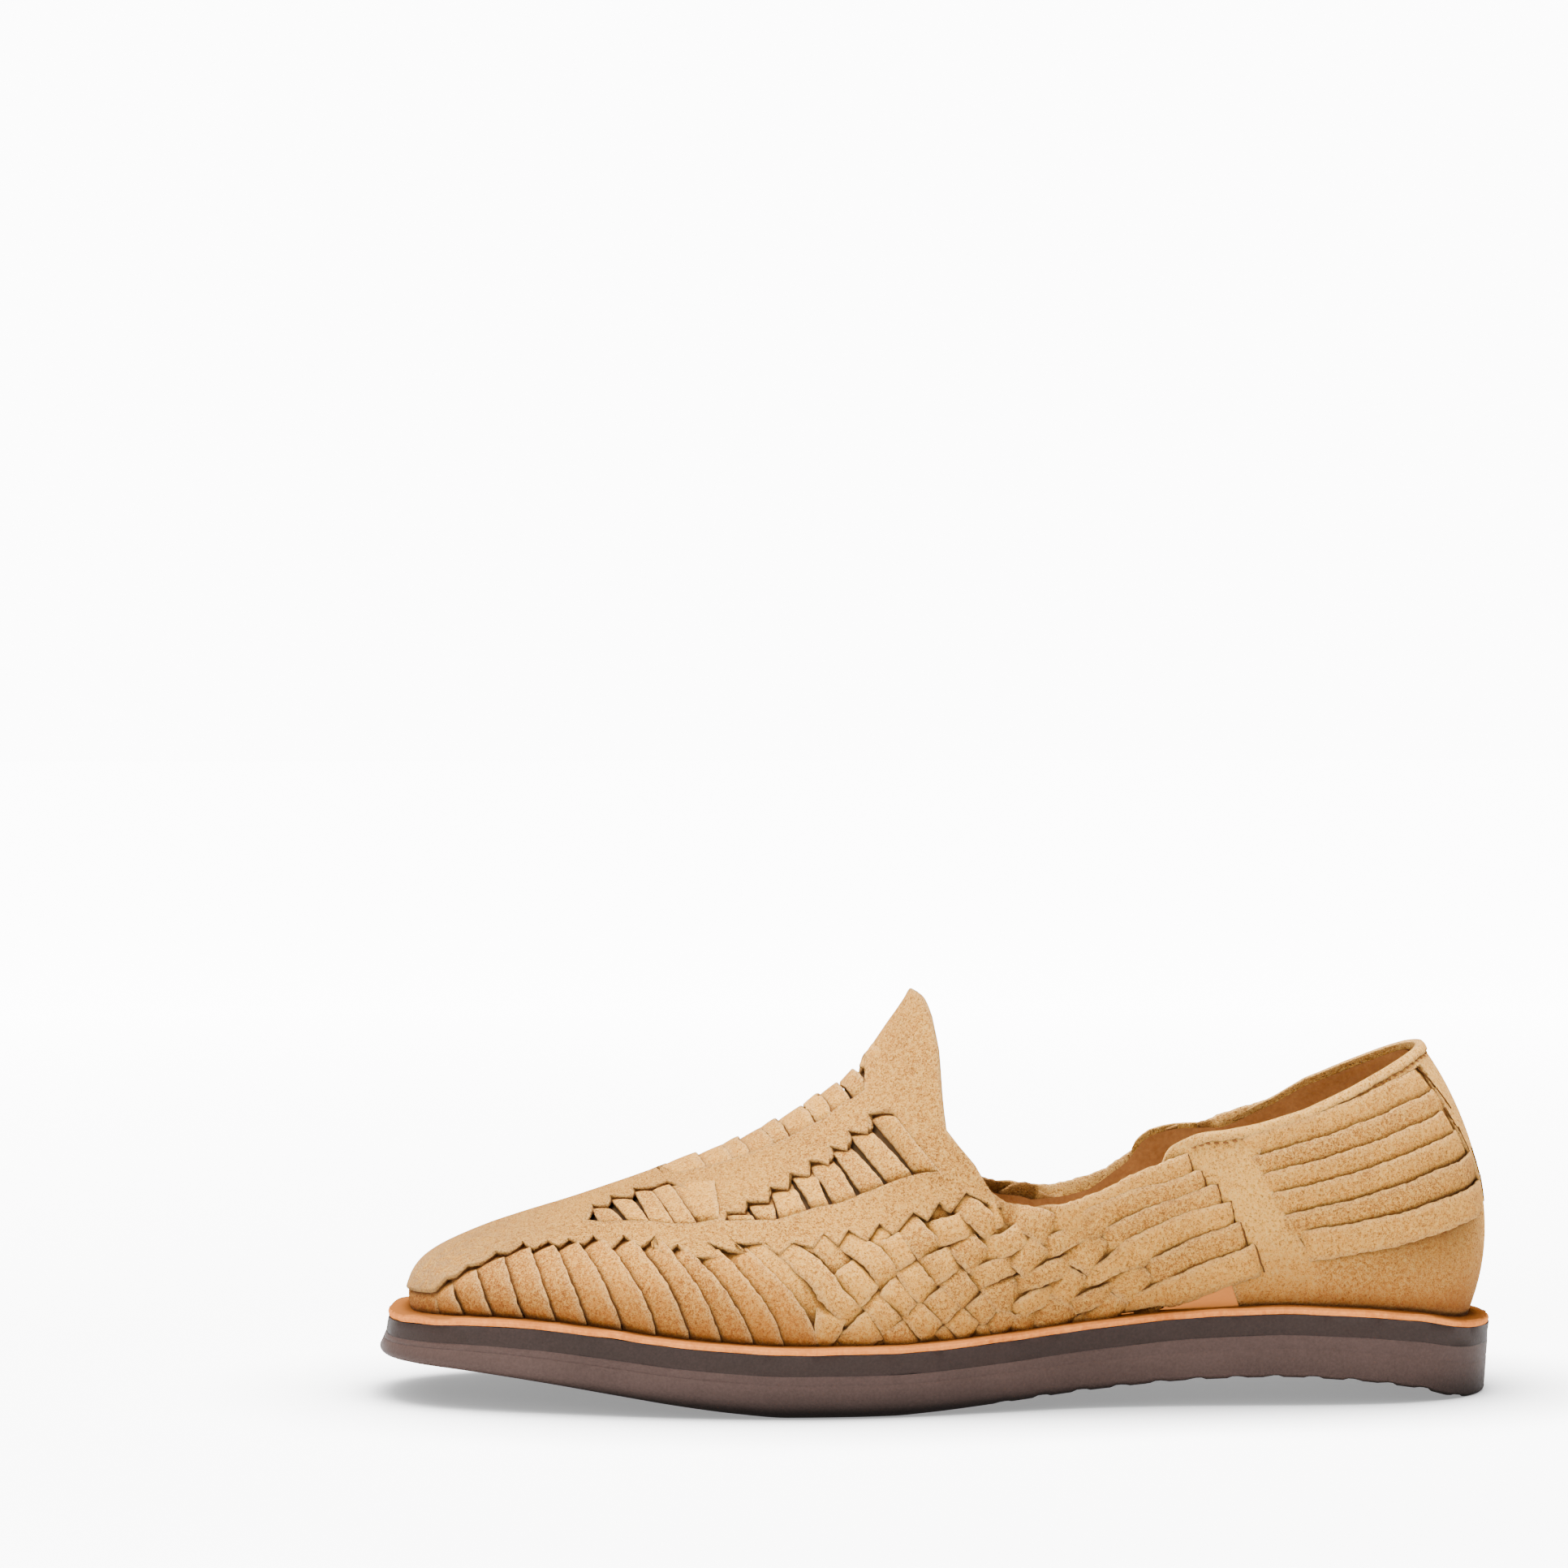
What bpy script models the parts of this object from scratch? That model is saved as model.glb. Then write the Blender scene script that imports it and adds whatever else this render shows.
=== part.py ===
"""Woven suede huarache, left shoe: a slip-on sandal on a layered foam-rubber sole.

The foot's last is worked out from a short table of sections, heel to toe. Each section has its own
foot edge on the sole and its own point on the ridge of the instep, and one formula carries the wall
from the edge up to the ridge. The woven upper is one hollow wall on that last, open at the collar and
throat, at the waist gaps and underneath. The heel counter is an overlay cut between two larger forms
of the same last.

Frame: +X to the toe, +Y to the outer side of the left foot, +Z up. Origin on the floor, under the
middle of the sole. Tables are in millimetres, stations run from the heel end of the footbed.
"""

from math import asin, cos, pi, radians, sin

import bmesh
import bpy
import numpy as np
from mathutils import Vector

MM = 0.001

# ---------------------------------------------------------------- driving dimensions (mm)
SHOE_LENGTH = 288.0        # footbed, heel end to toe end
BALL_WIDTH = 102.5         # footbed across the ball
INSTEP_HEIGHT = 104.8      # tip of the tongue above the floor
HEEL_HEIGHT = 91.6         # collar at the back of the heel above the floor

TABLE_LENGTH = 288.0       # the sizes that the tables below are written for
TABLE_WIDTH = 102.5
TABLE_INSTEP = 104.8
TABLE_HEEL = 91.6

FOOTBED_THICKNESS = 2.3    # tan leather board
UPPER_WALL = 2.4           # woven suede and its lining
COUNTER_WALL = 1.1         # suede overlay of the heel counter
PIECE_GAP = 0.3            # clearance between pieces that touch

COUNTER_END_ROW = 8        # the overlay's blank reaches past the front corner of the counter
TREAD_PITCH = 10.0         # ripple grooves across the tread
TREAD_GROOVE_WIDTH = 3.2
TREAD_GROOVE_DEPTH = 1.2

# ---------------------------------------------------------------- how finely things are made
UPPER_SPACING = 6.5        # between columns along the outline
UPPER_LEVELS = 11          # quads from foot edge to ridge
SOLE_SPACING = 7.5
EDGE_STEPS = 2             # facets on the rolled lower edge
MERGE = 0.5                # points nearer than this are one

OUTSOLE_SHARE = 0.7        # share of the sole's height that is outsole
FOOTBED_EDGE = 0.6         # eased upper edge of the leather board
TREAD_FIRST = 11.0
TREAD_LAST = 268.0
TREAD_OPEN_END = 125.0     # behind this station the grooves run out through the edge
TREAD_MARGIN = 9.0
TREAD_OVERRUN = 6.0

# The upper's blank is carried to the ridge from the throat forward, and just past the topline behind.
CROWN_ROWS = (0.0, 3.0, 5.0, 7.0, 8.0, 9.0, 9.4, 9.8)
CROWN_LIFTS = (1.42, 1.36, 1.08, 0.74, 0.60, 0.60, 0.90, 1.58)

CUT_TOP = 130.0            # above everything
CUT_SIDE = 80.0            # past both sides
CUT_FRONT = 140.0          # ahead of the counter
CUT_MARGIN = 12.0
RIM_HEIGHT = 4.5           # band along the collar that the rear straps leave bare
BACK_STRIP_HALF_WIDTH = 9.0

# ---------------------------------------------------------------- tables
# A row for each section of the last. outer, inner: half widths of the footbed. welt: how far the
# footbed stands out past the upper. ridge_*: the section's point on the ridge, its height above the
# floor. fullness: 1 is an ellipse, less is more pointed, more is boxier. bulge: swell above the edge.
SECTION_COLUMNS = (
    "station", "outer", "inner", "welt", "ridge_station", "ridge_shift", "ridge_height",
    "fullness", "bulge",
)
SECTIONS = (
    (0.0, 0.0, 0.0, 7.0, 37.0, 0.0, 99.6, 1.30, 5.3),
    (1.4, 10.5, 10.5, 7.0, 37.5, 0.0, 99.6, 1.30, 5.0),
    (5.5, 19.5, 20.0, 6.9, 38.8, 0.0, 99.6, 1.31, 4.5),
    (13.0, 27.0, 28.0, 6.8, 42.0, 0.0, 99.7, 1.33, 3.7),
    (25.0, 32.8, 33.8, 6.5, 49.0, 0.0, 100.3, 1.35, 3.1),
    (42.0, 35.5, 36.0, 6.2, 60.0, 0.0, 102.3, 1.33, 2.8),
    (64.0, 35.3, 34.8, 5.8, 73.0, 0.0, 105.0, 1.30, 2.5),
    (88.0, 35.2, 31.5, 5.1, 92.0, 0.5, 109.0, 1.15, 2.3),
    (112.0, 37.6, 30.0, 4.6, 113.0, 1.5, 112.0, 0.95, 2.4),
    (132.0, 43.2, 32.5, 4.6, 132.0, 2.0, 113.0, 0.72, 2.8),
    (147.0, 47.8, 36.0, 4.8, 147.0, 2.0, 109.8, 0.60, 3.2),
    (157.0, 50.3, 39.0, 5.0, 156.0, 1.5, 97.8, 0.58, 3.4),
    (167.0, 52.2, 42.2, 5.1, 166.0, 0.8, 83.8, 0.63, 3.4),
    (178.0, 53.0, 45.0, 5.2, 177.0, 0.0, 75.7, 0.72, 3.3),
    (198.0, 52.0, 49.0, 5.4, 196.0, -2.0, 65.2, 0.88, 3.3),
    (217.0, 48.3, 50.2, 5.6, 213.0, -4.0, 58.8, 1.00, 3.2),
    (236.0, 42.0, 48.6, 5.8, 228.0, -5.0, 53.5, 1.03, 3.0),
    (254.0, 35.0, 44.8, 6.0, 240.0, -5.5, 49.5, 1.06, 2.6),
    (268.0, 28.5, 39.0, 6.2, 249.0, -6.0, 46.8, 1.08, 2.0),
    (279.0, 20.5, 31.5, 6.3, 254.0, -6.0, 45.3, 1.12, 1.5),
    (285.5, 10.5, 21.5, 6.4, 256.5, -6.0, 44.55, 1.14, 1.2),
    (288.0, -6.0, 6.0, 6.4, 257.5, -6.0, 44.25, 1.14, 1.0),
)
LAST_ROW = len(SECTIONS) - 1

# The sole along its length. tread: underside above the floor, with the arch and the toe spring.
# light, dark: thickness of the outsole and the midsole. flare: how far the underside stands out past
# the footbed. edge: radius of the rolled lower edge.
SOLE_COLUMNS = ("station", "tread", "light", "dark", "flare", "edge")
SOLE_PROFILE = (
    (0.0, 0.0, 13.2, 4.1, -1.2, 1.0),
    (7.0, 0.0, 13.2, 4.5, -1.2, 1.0),
    (24.0, 3.8, 12.0, 4.9, -0.8, 1.0),
    (42.0, 6.3, 11.2, 4.9, -0.4, 1.0),
    (60.0, 7.3, 10.9, 4.9, 0.0, 1.0),
    (80.0, 6.8, 10.7, 4.9, 0.0, 1.2),
    (105.0, 4.8, 10.5, 4.9, 0.0, 2.0),
    (130.0, 2.2, 10.6, 4.9, 0.0, 3.2),
    (150.0, 0.5, 10.8, 4.9, 0.0, 4.0),
    (160.0, 0.0, 10.9, 4.9, 0.0, 4.2),
    (187.0, 0.0, 10.9, 4.9, 0.0, 4.2),
    (200.0, 0.9, 10.6, 4.9, 0.0, 4.2),
    (215.0, 2.6, 10.0, 4.9, 0.1, 4.0),
    (232.0, 5.0, 9.4, 4.9, 0.4, 3.6),
    (250.0, 7.6, 8.4, 4.8, 0.9, 3.0),
    (270.0, 9.9, 6.7, 4.2, 1.6, 2.2),
    (288.0, 11.0, 5.2, 3.6, 2.3, 1.4),
)

# The rest are outlines seen square from the side; their columns are stations and heights.
# The upper's top edge: collar, front corner of the counter, topmost strap, throat, tongue.
SIDE_COLUMNS = ("station", "height")
TOPLINE = (
    (8.0, 95.2), (16.5, 91.6), (29.6, 85.2), (40.7, 80.0), (52.8, 75.0), (63.9, 71.8), (72.6, 70.2),
    (80.5, 68.4), (86.0, 66.6), (89.2, 64.0), (91.5, 60.6), (100.6, 55.8), (108.8, 51.8),
    (117.7, 48.6), (126.6, 49.4), (131.5, 51.4), (135.4, 56.6), (138.9, 62.8), (143.1, 67.4),
    (145.8, 71.0), (146.4, 80.0), (146.7, 90.0), (147.7, 98.0), (149.2, 102.8), (152.0, 104.8),
)
RIM_ROWS = slice(2, 6)     # the part of the topline over the rear windows

# Front edge of the counter, from under the lowest strap up to the corner over the topmost one.
COUNTER_FRONT = (
    (70.2, 31.6), (63.0, 38.5), (66.3, 43.2), (69.5, 48.3), (72.7, 53.3), (76.5, 57.3), (80.6, 62.0),
    (84.0, 67.0), (90.9, 62.0),
)
# Around a rear window: up the ankle bar, under the rim, down the back strip, forward along the cup.
WINDOW_BAR = ((50.2, 38.5), (55.0, 43.2), (57.8, 48.3), (60.5, 53.3), (62.6, 57.3), (65.3, 62.0))
WINDOW_STRIP = (
    (19.6, 83.2), (16.0, 76.0), (13.4, 70.5), (10.4, 65.0), (6.8, 58.8), (4.3, 51.5), (4.6, 48.5),
)
WINDOW_CUP = ((20.5, 45.6), (33.9, 42.4))

# The gap under the lowest strap, ahead of the counter; its heights are above the footbed.
WAIST_GAP = ((70.0, -2.0), (70.6, 5.8), (74.0, 5.6), (80.0, 4.6), (84.5, 2.6), (88.5, -2.0))


# ---------------------------------------------------------------- smooth reading of the tables
def read_columns(names, rows):
    return {name: np.array([row[i] for row in rows], float) for i, name in enumerate(names)}


def height_scale(station):
    """Heights follow the heel size at the heel and the instep size from the tongue forward."""
    heel = HEEL_HEIGHT / TABLE_HEEL
    instep = INSTEP_HEIGHT / TABLE_INSTEP
    return heel + (instep - heel) * np.clip(np.asarray(station) / TOPLINE[-1][0], 0.0, 1.0)


def scaled_tables():
    """The tables, stretched from their own size to the driving dimensions."""
    length = SHOE_LENGTH / TABLE_LENGTH
    width = BALL_WIDTH / TABLE_WIDTH
    last = read_columns(SECTION_COLUMNS, SECTIONS)
    last["ridge_height"] *= height_scale(last["ridge_station"])
    for name in ("station", "ridge_station"):
        last[name] *= length
    for name in ("outer", "inner", "ridge_shift"):
        last[name] *= width
    sole = read_columns(SOLE_COLUMNS, SOLE_PROFILE)
    sole["station"] *= length
    return last, sole


def side_view(rows):
    """Points (station, height) of a side-view table, stretched to the driving dimensions."""
    table = read_columns(SIDE_COLUMNS, rows)
    heights = table["height"] * height_scale(table["station"])
    stations = table["station"] * SHOE_LENGTH / TABLE_LENGTH
    return [(float(s), float(z)) for s, z in zip(stations, heights)]


LAST, SOLE = scaled_tables()


def hermite(x, knots, values, slopes):
    """Cubic through values with given slopes at the knots; x is an array."""
    i = np.clip(np.searchsorted(knots, x, side="right") - 1, 0, len(knots) - 2)
    step = knots[i + 1] - knots[i]
    f = (x - knots[i]) / step
    shape = (-1,) + (1,) * (values.ndim - 1)
    f = f.reshape(shape)
    step = step.reshape(shape)
    return (
        (2 * f**3 - 3 * f**2 + 1) * values[i]
        + (f**3 - 2 * f**2 + f) * step * slopes[i]
        + (-2 * f**3 + 3 * f**2) * values[i + 1]
        + (f**3 - f**2) * step * slopes[i + 1]
    )


def smooth_slopes(knots, values, closed=False, free=False):
    """Slopes of a curve through unevenly spaced knots; open ends are level unless free."""
    step = np.diff(knots)
    shape = (-1,) + (1,) * (values.ndim - 1)
    rise = np.diff(values, axis=0) / step.reshape(shape)
    slopes = np.zeros_like(values)
    before = step[:-1].reshape(shape)
    after = step[1:].reshape(shape)
    slopes[1:-1] = (rise[:-1] * after + rise[1:] * before) / (before + after)
    if closed:
        ends = (rise[-1] * step[0] + rise[0] * step[-1]) / (step[0] + step[-1])
        slopes[0] = ends
        slopes[-1] = ends
    if free:
        slopes[0] = rise[0]
        slopes[-1] = rise[-1]
    return slopes


def level_slopes(knots, values):
    """Slopes that never overshoot, so that level stretches stay level."""
    step = np.diff(knots)
    rise = np.diff(values) / step
    slopes = np.zeros_like(values)
    for i in range(1, len(values) - 1):
        if rise[i - 1] * rise[i] > 0:
            w0 = 2 * step[i] + step[i - 1]
            w1 = step[i] + 2 * step[i - 1]
            slopes[i] = (w0 + w1) / (w0 / rise[i - 1] + w1 / rise[i])
    slopes[0] = rise[0]
    slopes[-1] = rise[-1]
    return slopes


def sole_at(name, station):
    """A column of the sole's profile at any station."""
    knots = SOLE["station"]
    x = np.clip(np.atleast_1d(np.asarray(station, float)), knots[0], knots[-1])
    return hermite(x, knots, SOLE[name], level_slopes(knots, SOLE[name]))


def footbed_top(station):
    layers = sole_at("light", station) + sole_at("dark", station) + FOOTBED_THICKNESS
    return sole_at("tread", station) + layers


def outline_loop():
    """Footbed outline through the table's points: outer side heel to toe, inner side back again."""
    outer = np.stack([LAST["station"], LAST["outer"]], 1)
    inner = np.stack([LAST["station"], -LAST["inner"]], 1)
    loop = np.concatenate([outer, inner[::-1][1:]])
    knots = np.concatenate([[0.0], np.cumsum(np.linalg.norm(np.diff(loop, axis=0), axis=1))])
    return knots, loop, smooth_slopes(knots, loop, closed=True)


LOOP_KNOTS, LOOP_POINTS, LOOP_SLOPES = outline_loop()
ROW_KNOTS = LOOP_KNOTS[: LAST_ROW + 1]


def outline(turn):
    """Footbed outline; turn 0 is the heel end, LAST_ROW the toe end, 2 * LAST_ROW the heel again."""
    turn = np.mod(np.asarray(turn, float), 2 * LAST_ROW)
    i = np.floor(turn).astype(int)
    run = LOOP_KNOTS[i] + (LOOP_KNOTS[i + 1] - LOOP_KNOTS[i]) * (turn - i)
    return hermite(run, LOOP_KNOTS, LOOP_POINTS, LOOP_SLOPES)


def outward(turn):
    """Unit direction away from the footbed, square to its outline."""
    ahead = outline(np.asarray(turn, float) + 0.001) - outline(np.asarray(turn, float) - 0.001)
    ahead /= np.linalg.norm(ahead, axis=1, keepdims=True)
    return np.stack([-ahead[:, 1], ahead[:, 0]], 1)


def row_of(turn):
    """Table row of a turn, the same on both sides of the shoe."""
    turn = np.mod(np.asarray(turn, float), 2 * LAST_ROW)
    return np.minimum(turn, 2 * LAST_ROW - turn)


def last_at(name, turn):
    """A column of the last at any turn."""
    row = row_of(turn)
    i = np.clip(np.floor(row).astype(int), 0, LAST_ROW - 1)
    run = ROW_KNOTS[i] + (ROW_KNOTS[i + 1] - ROW_KNOTS[i]) * (row - i)
    return hermite(run, ROW_KNOTS, LAST[name], smooth_slopes(ROW_KNOTS, LAST[name]))


def ridge_height(station):
    """Height of the ridge above the floor, as a profile along the shoe."""
    knots = LAST["ridge_station"]
    slopes = smooth_slopes(knots, LAST["ridge_height"], free=True)
    return hermite(station, knots, LAST["ridge_height"], slopes)


def ridge_slope(turn):
    """How steeply the ridge climbs where a section meets it."""
    ends = LAST["ridge_station"][[0, -1]]
    station = np.clip(last_at("ridge_station", turn), ends[0] + 0.5, ends[1] - 0.5)
    return ridge_height(station + 0.5) - ridge_height(station - 0.5)


def last_surface(turn, lift):
    """Outside of the upper; lift 0 is the edge on the footbed and pi / 2 the ridge."""
    turn = np.atleast_1d(np.asarray(turn, float))
    lift = np.atleast_1d(np.asarray(lift, float))
    foot = outline(turn) - outward(turn) * last_at("welt", turn)[:, None]
    ridge = np.stack([last_at("ridge_station", turn), last_at("ridge_shift", turn)], 1)
    reach = np.linalg.norm(ridge - foot, axis=1)
    inward = (ridge - foot) / reach[:, None]
    share = np.sin(lift)
    # the bulge is greatest a third of the way up, where share * (1 - share)**2 is 4 / 27
    swell = last_at("bulge", turn) * (27 / 4) * share * (1 - share) ** 2
    run = reach * (1 - np.cos(lift)) ** last_at("fullness", turn) - swell
    base = footbed_top(foot[:, 0])
    climb = (ridge_height(ridge[:, 0]) - base) * share
    # near the ridge a section leans with the ridge's own slope, so that both sides meet smoothly
    lean = ridge_slope(turn) * inward[:, 0] * (run - reach) * share**3
    return np.column_stack([foot + inward * run[:, None], base + climb + lean])


def surface_normal(turn, lift):
    """Unit direction out of the upper."""
    turn = np.atleast_1d(np.asarray(turn, float))
    lift = np.atleast_1d(np.asarray(lift, float))
    along = last_surface(turn + 0.01, lift) - last_surface(turn - 0.01, lift)
    low = np.clip(lift - 0.01, 0, pi / 2)
    high = np.clip(lift + 0.01, 0, pi / 2)
    up = last_surface(turn, high) - last_surface(turn, low)
    normal = np.cross(up, along)
    top = lift > pi / 2 - 1e-6
    normal[top] = np.column_stack([-ridge_slope(turn[top]), np.zeros(top.sum()), np.ones(top.sum())])
    return normal / np.linalg.norm(normal, axis=1, keepdims=True)


def wall_point(turn, lift, offset):
    """A point of the last moved out by offset; the edge stays level on the footbed."""
    point = last_surface(turn, lift) + surface_normal(turn, lift) * offset
    edge = np.atleast_1d(lift) < 1e-6
    point[edge, 2] = footbed_top(point[edge, 0])
    point[:, 2] += PIECE_GAP * (1 - np.sin(np.atleast_1d(lift)))
    return point


# ---------------------------------------------------------------- scene and mesh helpers
SOLE_FLARE_TOE = float(SOLE["flare"][-1])
ORIGIN_STATION = (SHOE_LENGTH + SOLE_FLARE_TOE) / 2
ORIGIN_SIDE = (outline(np.linspace(0, 2 * LAST_ROW, 2000))[:, 1].max()
               + outline(np.linspace(0, 2 * LAST_ROW, 2000))[:, 1].min()) / 2


def world(point):
    """Table millimetres to metres in the part's frame."""
    return Vector((
        (float(point[0]) - ORIGIN_STATION) * MM,
        (float(point[1]) - ORIGIN_SIDE) * MM,
        float(point[2]) * MM,
    ))


def clear_scene():
    for thing in list(bpy.data.objects):
        bpy.data.objects.remove(thing, do_unlink=True)


def material(name, colour, roughness, metallic=0.0):
    made = bpy.data.materials.new(name)
    made.use_nodes = True
    shader = made.node_tree.nodes["Principled BSDF"]
    shader.inputs["Base Color"].default_value = (*colour, 1.0)
    shader.inputs["Roughness"].default_value = roughness
    shader.inputs["Metallic"].default_value = metallic
    return made


def add_object(name, bm, finish=None, smooth_angle=35.0):
    mesh = bpy.data.meshes.new(name)
    bm.to_mesh(mesh)
    bm.free()
    made = bpy.data.objects.new(name, mesh)
    bpy.context.scene.collection.objects.link(made)
    if finish is not None:
        mesh.materials.append(finish)
        mesh.shade_smooth()
        mesh.set_sharp_from_angle(angle=radians(smooth_angle))
    return made


def add_cutter(name, bm):
    cutter = add_object(name, bm)
    cutter.hide_render = True
    cutter.display_type = "WIRE"
    return cutter


def cut(piece, cutter):
    step = piece.modifiers.new("cut " + cutter.name, "BOOLEAN")
    step.operation = "DIFFERENCE"
    step.solver = "EXACT"
    step.object = cutter


def side_prism(name, profile, side_low, side_high):
    """A closed cutter: a side-view outline of (station, height) carried across the shoe."""
    bm = bmesh.new()
    corners = [bm.verts.new(world((s, side_low, z))) for s, z in profile]
    face = bm.faces.new(corners)
    grown = bmesh.ops.extrude_face_region(bm, geom=[face])
    moved = [v for v in grown["geom"] if isinstance(v, bmesh.types.BMVert)]
    bmesh.ops.translate(bm, verts=moved, vec=(0, (side_high - side_low) * MM, 0))
    bmesh.ops.recalc_face_normals(bm, faces=bm.faces)
    return add_cutter(name, bm)


def smooth_profile(rows, per_step):
    """Points on a smooth curve through a table's (x, y) rows."""
    points = np.array(rows, float)
    knots = np.concatenate([[0.0], np.cumsum(np.linalg.norm(np.diff(points, axis=0), axis=1))])
    runs = np.concatenate([
        np.linspace(a, b, per_step, endpoint=False) for a, b in zip(knots[:-1], knots[1:])
    ] + [[knots[-1]]])
    return [tuple(p) for p in hermite(runs, knots, points, smooth_slopes(knots, points))]


def shell(turns, closed, lifts_at, outer_offset, inner_offset):
    """A wall on the last between two offsets. lifts_at gives each column's lifts, foot first."""
    bm = bmesh.new()
    skins = []
    for offset in (outer_offset, inner_offset):
        columns = []
        for turn in turns:
            lifts = lifts_at(turn)
            points = wall_point(np.full(len(lifts), turn), lifts, offset)
            columns.append([bm.verts.new(world(p)) for p in points])
        skins.append(columns)
    reaches_ridge = [lifts_at(turn)[-1] > pi / 2 - 1e-6 for turn in turns]
    count = len(turns)
    top = len(skins[0][0]) - 1
    for a in range(count if closed else count - 1):
        b = (a + 1) % count
        for columns in skins:
            for k in range(top):
                bm.faces.new((columns[a][k], columns[b][k], columns[b][k + 1], columns[a][k + 1]))
        # along the ridge the two sides meet, so no rim closes them there
        rims = [0] if reaches_ridge[a] and reaches_ridge[b] else [0, top]
        for k in rims:
            bm.faces.new((skins[0][a][k], skins[0][b][k], skins[1][b][k], skins[1][a][k]))
    if not closed:
        for end in (0, count - 1):
            for k in range(top):
                bm.faces.new((
                    skins[0][end][k], skins[0][end][k + 1], skins[1][end][k + 1], skins[1][end][k],
                ))
    bmesh.ops.remove_doubles(bm, verts=bm.verts, dist=MERGE * MM)
    bmesh.ops.recalc_face_normals(bm, faces=bm.faces)
    return bm


def turn_steps(first_row, last_row, spacing):
    """Rows from first to last, a step about as long as spacing along the outline."""
    rows = []
    for row in range(int(first_row), int(last_row)):
        steps = max(1, round((ROW_KNOTS[row + 1] - ROW_KNOTS[row]) / spacing))
        rows += [row + k / steps for k in range(steps)]
    return rows + [last_row]


# ---------------------------------------------------------------- the sole's layers
def side_wall(turn, height_share, inset=0.0):
    """Sole edge at a share of its height, 0 at the underside and 1 under the footbed."""
    edge = outline(turn)
    flare = sole_at("flare", edge[:, 0]) * (1 - height_share)
    return edge + outward(turn) * (flare - inset)[:, None]


def slab(rings, rows):
    """A closed layer from rings of points, bottom first; its faces cross from side to side."""
    bm = bmesh.new()
    turns = np.array(list(rows) + [2 * LAST_ROW - row for row in rows[-2:0:-1]])
    count = len(turns)
    loops = [[bm.verts.new(world(p)) for p in ring(turns)] for ring in rings]
    for low, high in zip(loops[:-1], loops[1:]):
        for a in range(count):
            b = (a + 1) % count
            bm.faces.new((low[a], low[b], high[b], high[a]))
    last = len(rows) - 1
    for loop in (loops[0], loops[-1]):
        for a in range(last):
            across = [loop[a], loop[a + 1], loop[(count - a - 1) % count], loop[(count - a) % count]]
            corners = list(dict.fromkeys(across))
            bm.faces.new(corners)
    bmesh.ops.recalc_face_normals(bm, faces=bm.faces)
    return bm


def layer_ring(height_of, height_share, inset_of=None):
    """A ring at a height given by station, with its own inset from the sole's edge."""
    def ring(turns):
        stations = outline(turns)[:, 0]
        inset = np.zeros(len(turns)) if inset_of is None else inset_of(stations)
        edge = side_wall(turns, height_share, inset)
        return np.column_stack([edge, height_of(stations)])
    return ring


def rolled_rings(steps):
    """The outsole's lower edge, rolled under on a quarter circle of the profile's own radius."""
    rings = []
    for k in range(steps + 1):
        angle = pi / 2 * k / steps
        rings.append(layer_ring(
            lambda s, c=cos(angle): sole_at("tread", s) + sole_at("edge", s) * (1 - c),
            0.0,
            lambda s, c=sin(angle): sole_at("edge", s) * (1 - c),
        ))
    return rings


def build_outsole(rows, finish):
    half_gap = PIECE_GAP / 2
    top = layer_ring(lambda s: sole_at("tread", s) + sole_at("light", s) - half_gap, OUTSOLE_SHARE)
    outsole = add_object("outsole", slab(rolled_rings(EDGE_STEPS) + [top], rows), finish)
    cut(outsole, tread_cutter())
    return outsole


def tread_cutter():
    """Ripple grooves: right across at the heel and waist, short of the rolled edge in front."""
    bm = bmesh.new()
    for station in np.arange(TREAD_FIRST, TREAD_LAST, TREAD_PITCH):
        ground = float(sole_at("tread", station)[0])
        slope = float((sole_at("tread", station + 1) - sole_at("tread", station - 1))[0]) / 2
        half = TREAD_GROOVE_WIDTH / 2
        profile = [
            (station - half, ground - half * slope - TREAD_GROOVE_WIDTH),
            (station + half, ground + half * slope - TREAD_GROOVE_WIDTH),
            (station + half, ground + half * slope),
            (station + half * 0.5, ground + TREAD_GROOVE_DEPTH),
            (station - half * 0.5, ground + TREAD_GROOVE_DEPTH),
            (station - half, ground - half * slope),
        ]
        row = float(np.interp(station, LAST["station"], np.arange(LAST_ROW + 1)))
        outer = float(outline(np.array([row]))[0, 1])
        inner = float(outline(np.array([2 * LAST_ROW - row]))[0, 1])
        margin = -TREAD_OVERRUN if station < TREAD_OPEN_END else TREAD_MARGIN
        low, high = inner + margin, outer - margin
        near = [bm.verts.new(world((s, low, z))) for s, z in profile]
        far = [bm.verts.new(world((s, high, z))) for s, z in profile]
        bm.faces.new(near)
        bm.faces.new(far)
        for a in range(len(profile)):
            b = (a + 1) % len(profile)
            bm.faces.new((near[a], near[b], far[b], far[a]))
    bmesh.ops.recalc_face_normals(bm, faces=bm.faces)
    return add_cutter("tread_cutter", bm)


def build_midsole(rows, finish):
    half_gap = PIECE_GAP / 2
    bottom = layer_ring(lambda s: sole_at("tread", s) + sole_at("light", s) + half_gap, OUTSOLE_SHARE)
    top = layer_ring(lambda s: footbed_top(s) - FOOTBED_THICKNESS - half_gap, 1.0)
    return add_object("midsole", slab([bottom, top], rows), finish)


def build_footbed(rows, finish):
    half_gap = PIECE_GAP / 2
    rings = [
        layer_ring(lambda s: footbed_top(s) - FOOTBED_THICKNESS + half_gap, 1.0),
        layer_ring(lambda s: footbed_top(s) - FOOTBED_EDGE, 1.0),
        layer_ring(footbed_top, 1.0, lambda s: np.full(len(s), FOOTBED_EDGE)),
    ]
    return add_object("footbed", slab(rings, rows), finish)


# ---------------------------------------------------------------- the upper and its counter
def crown_lift(row):
    """How high a column of the upper's blank is carried before the topline is cut."""
    return min(pi / 2, float(np.interp(row, CROWN_ROWS, CROWN_LIFTS)))


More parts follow.
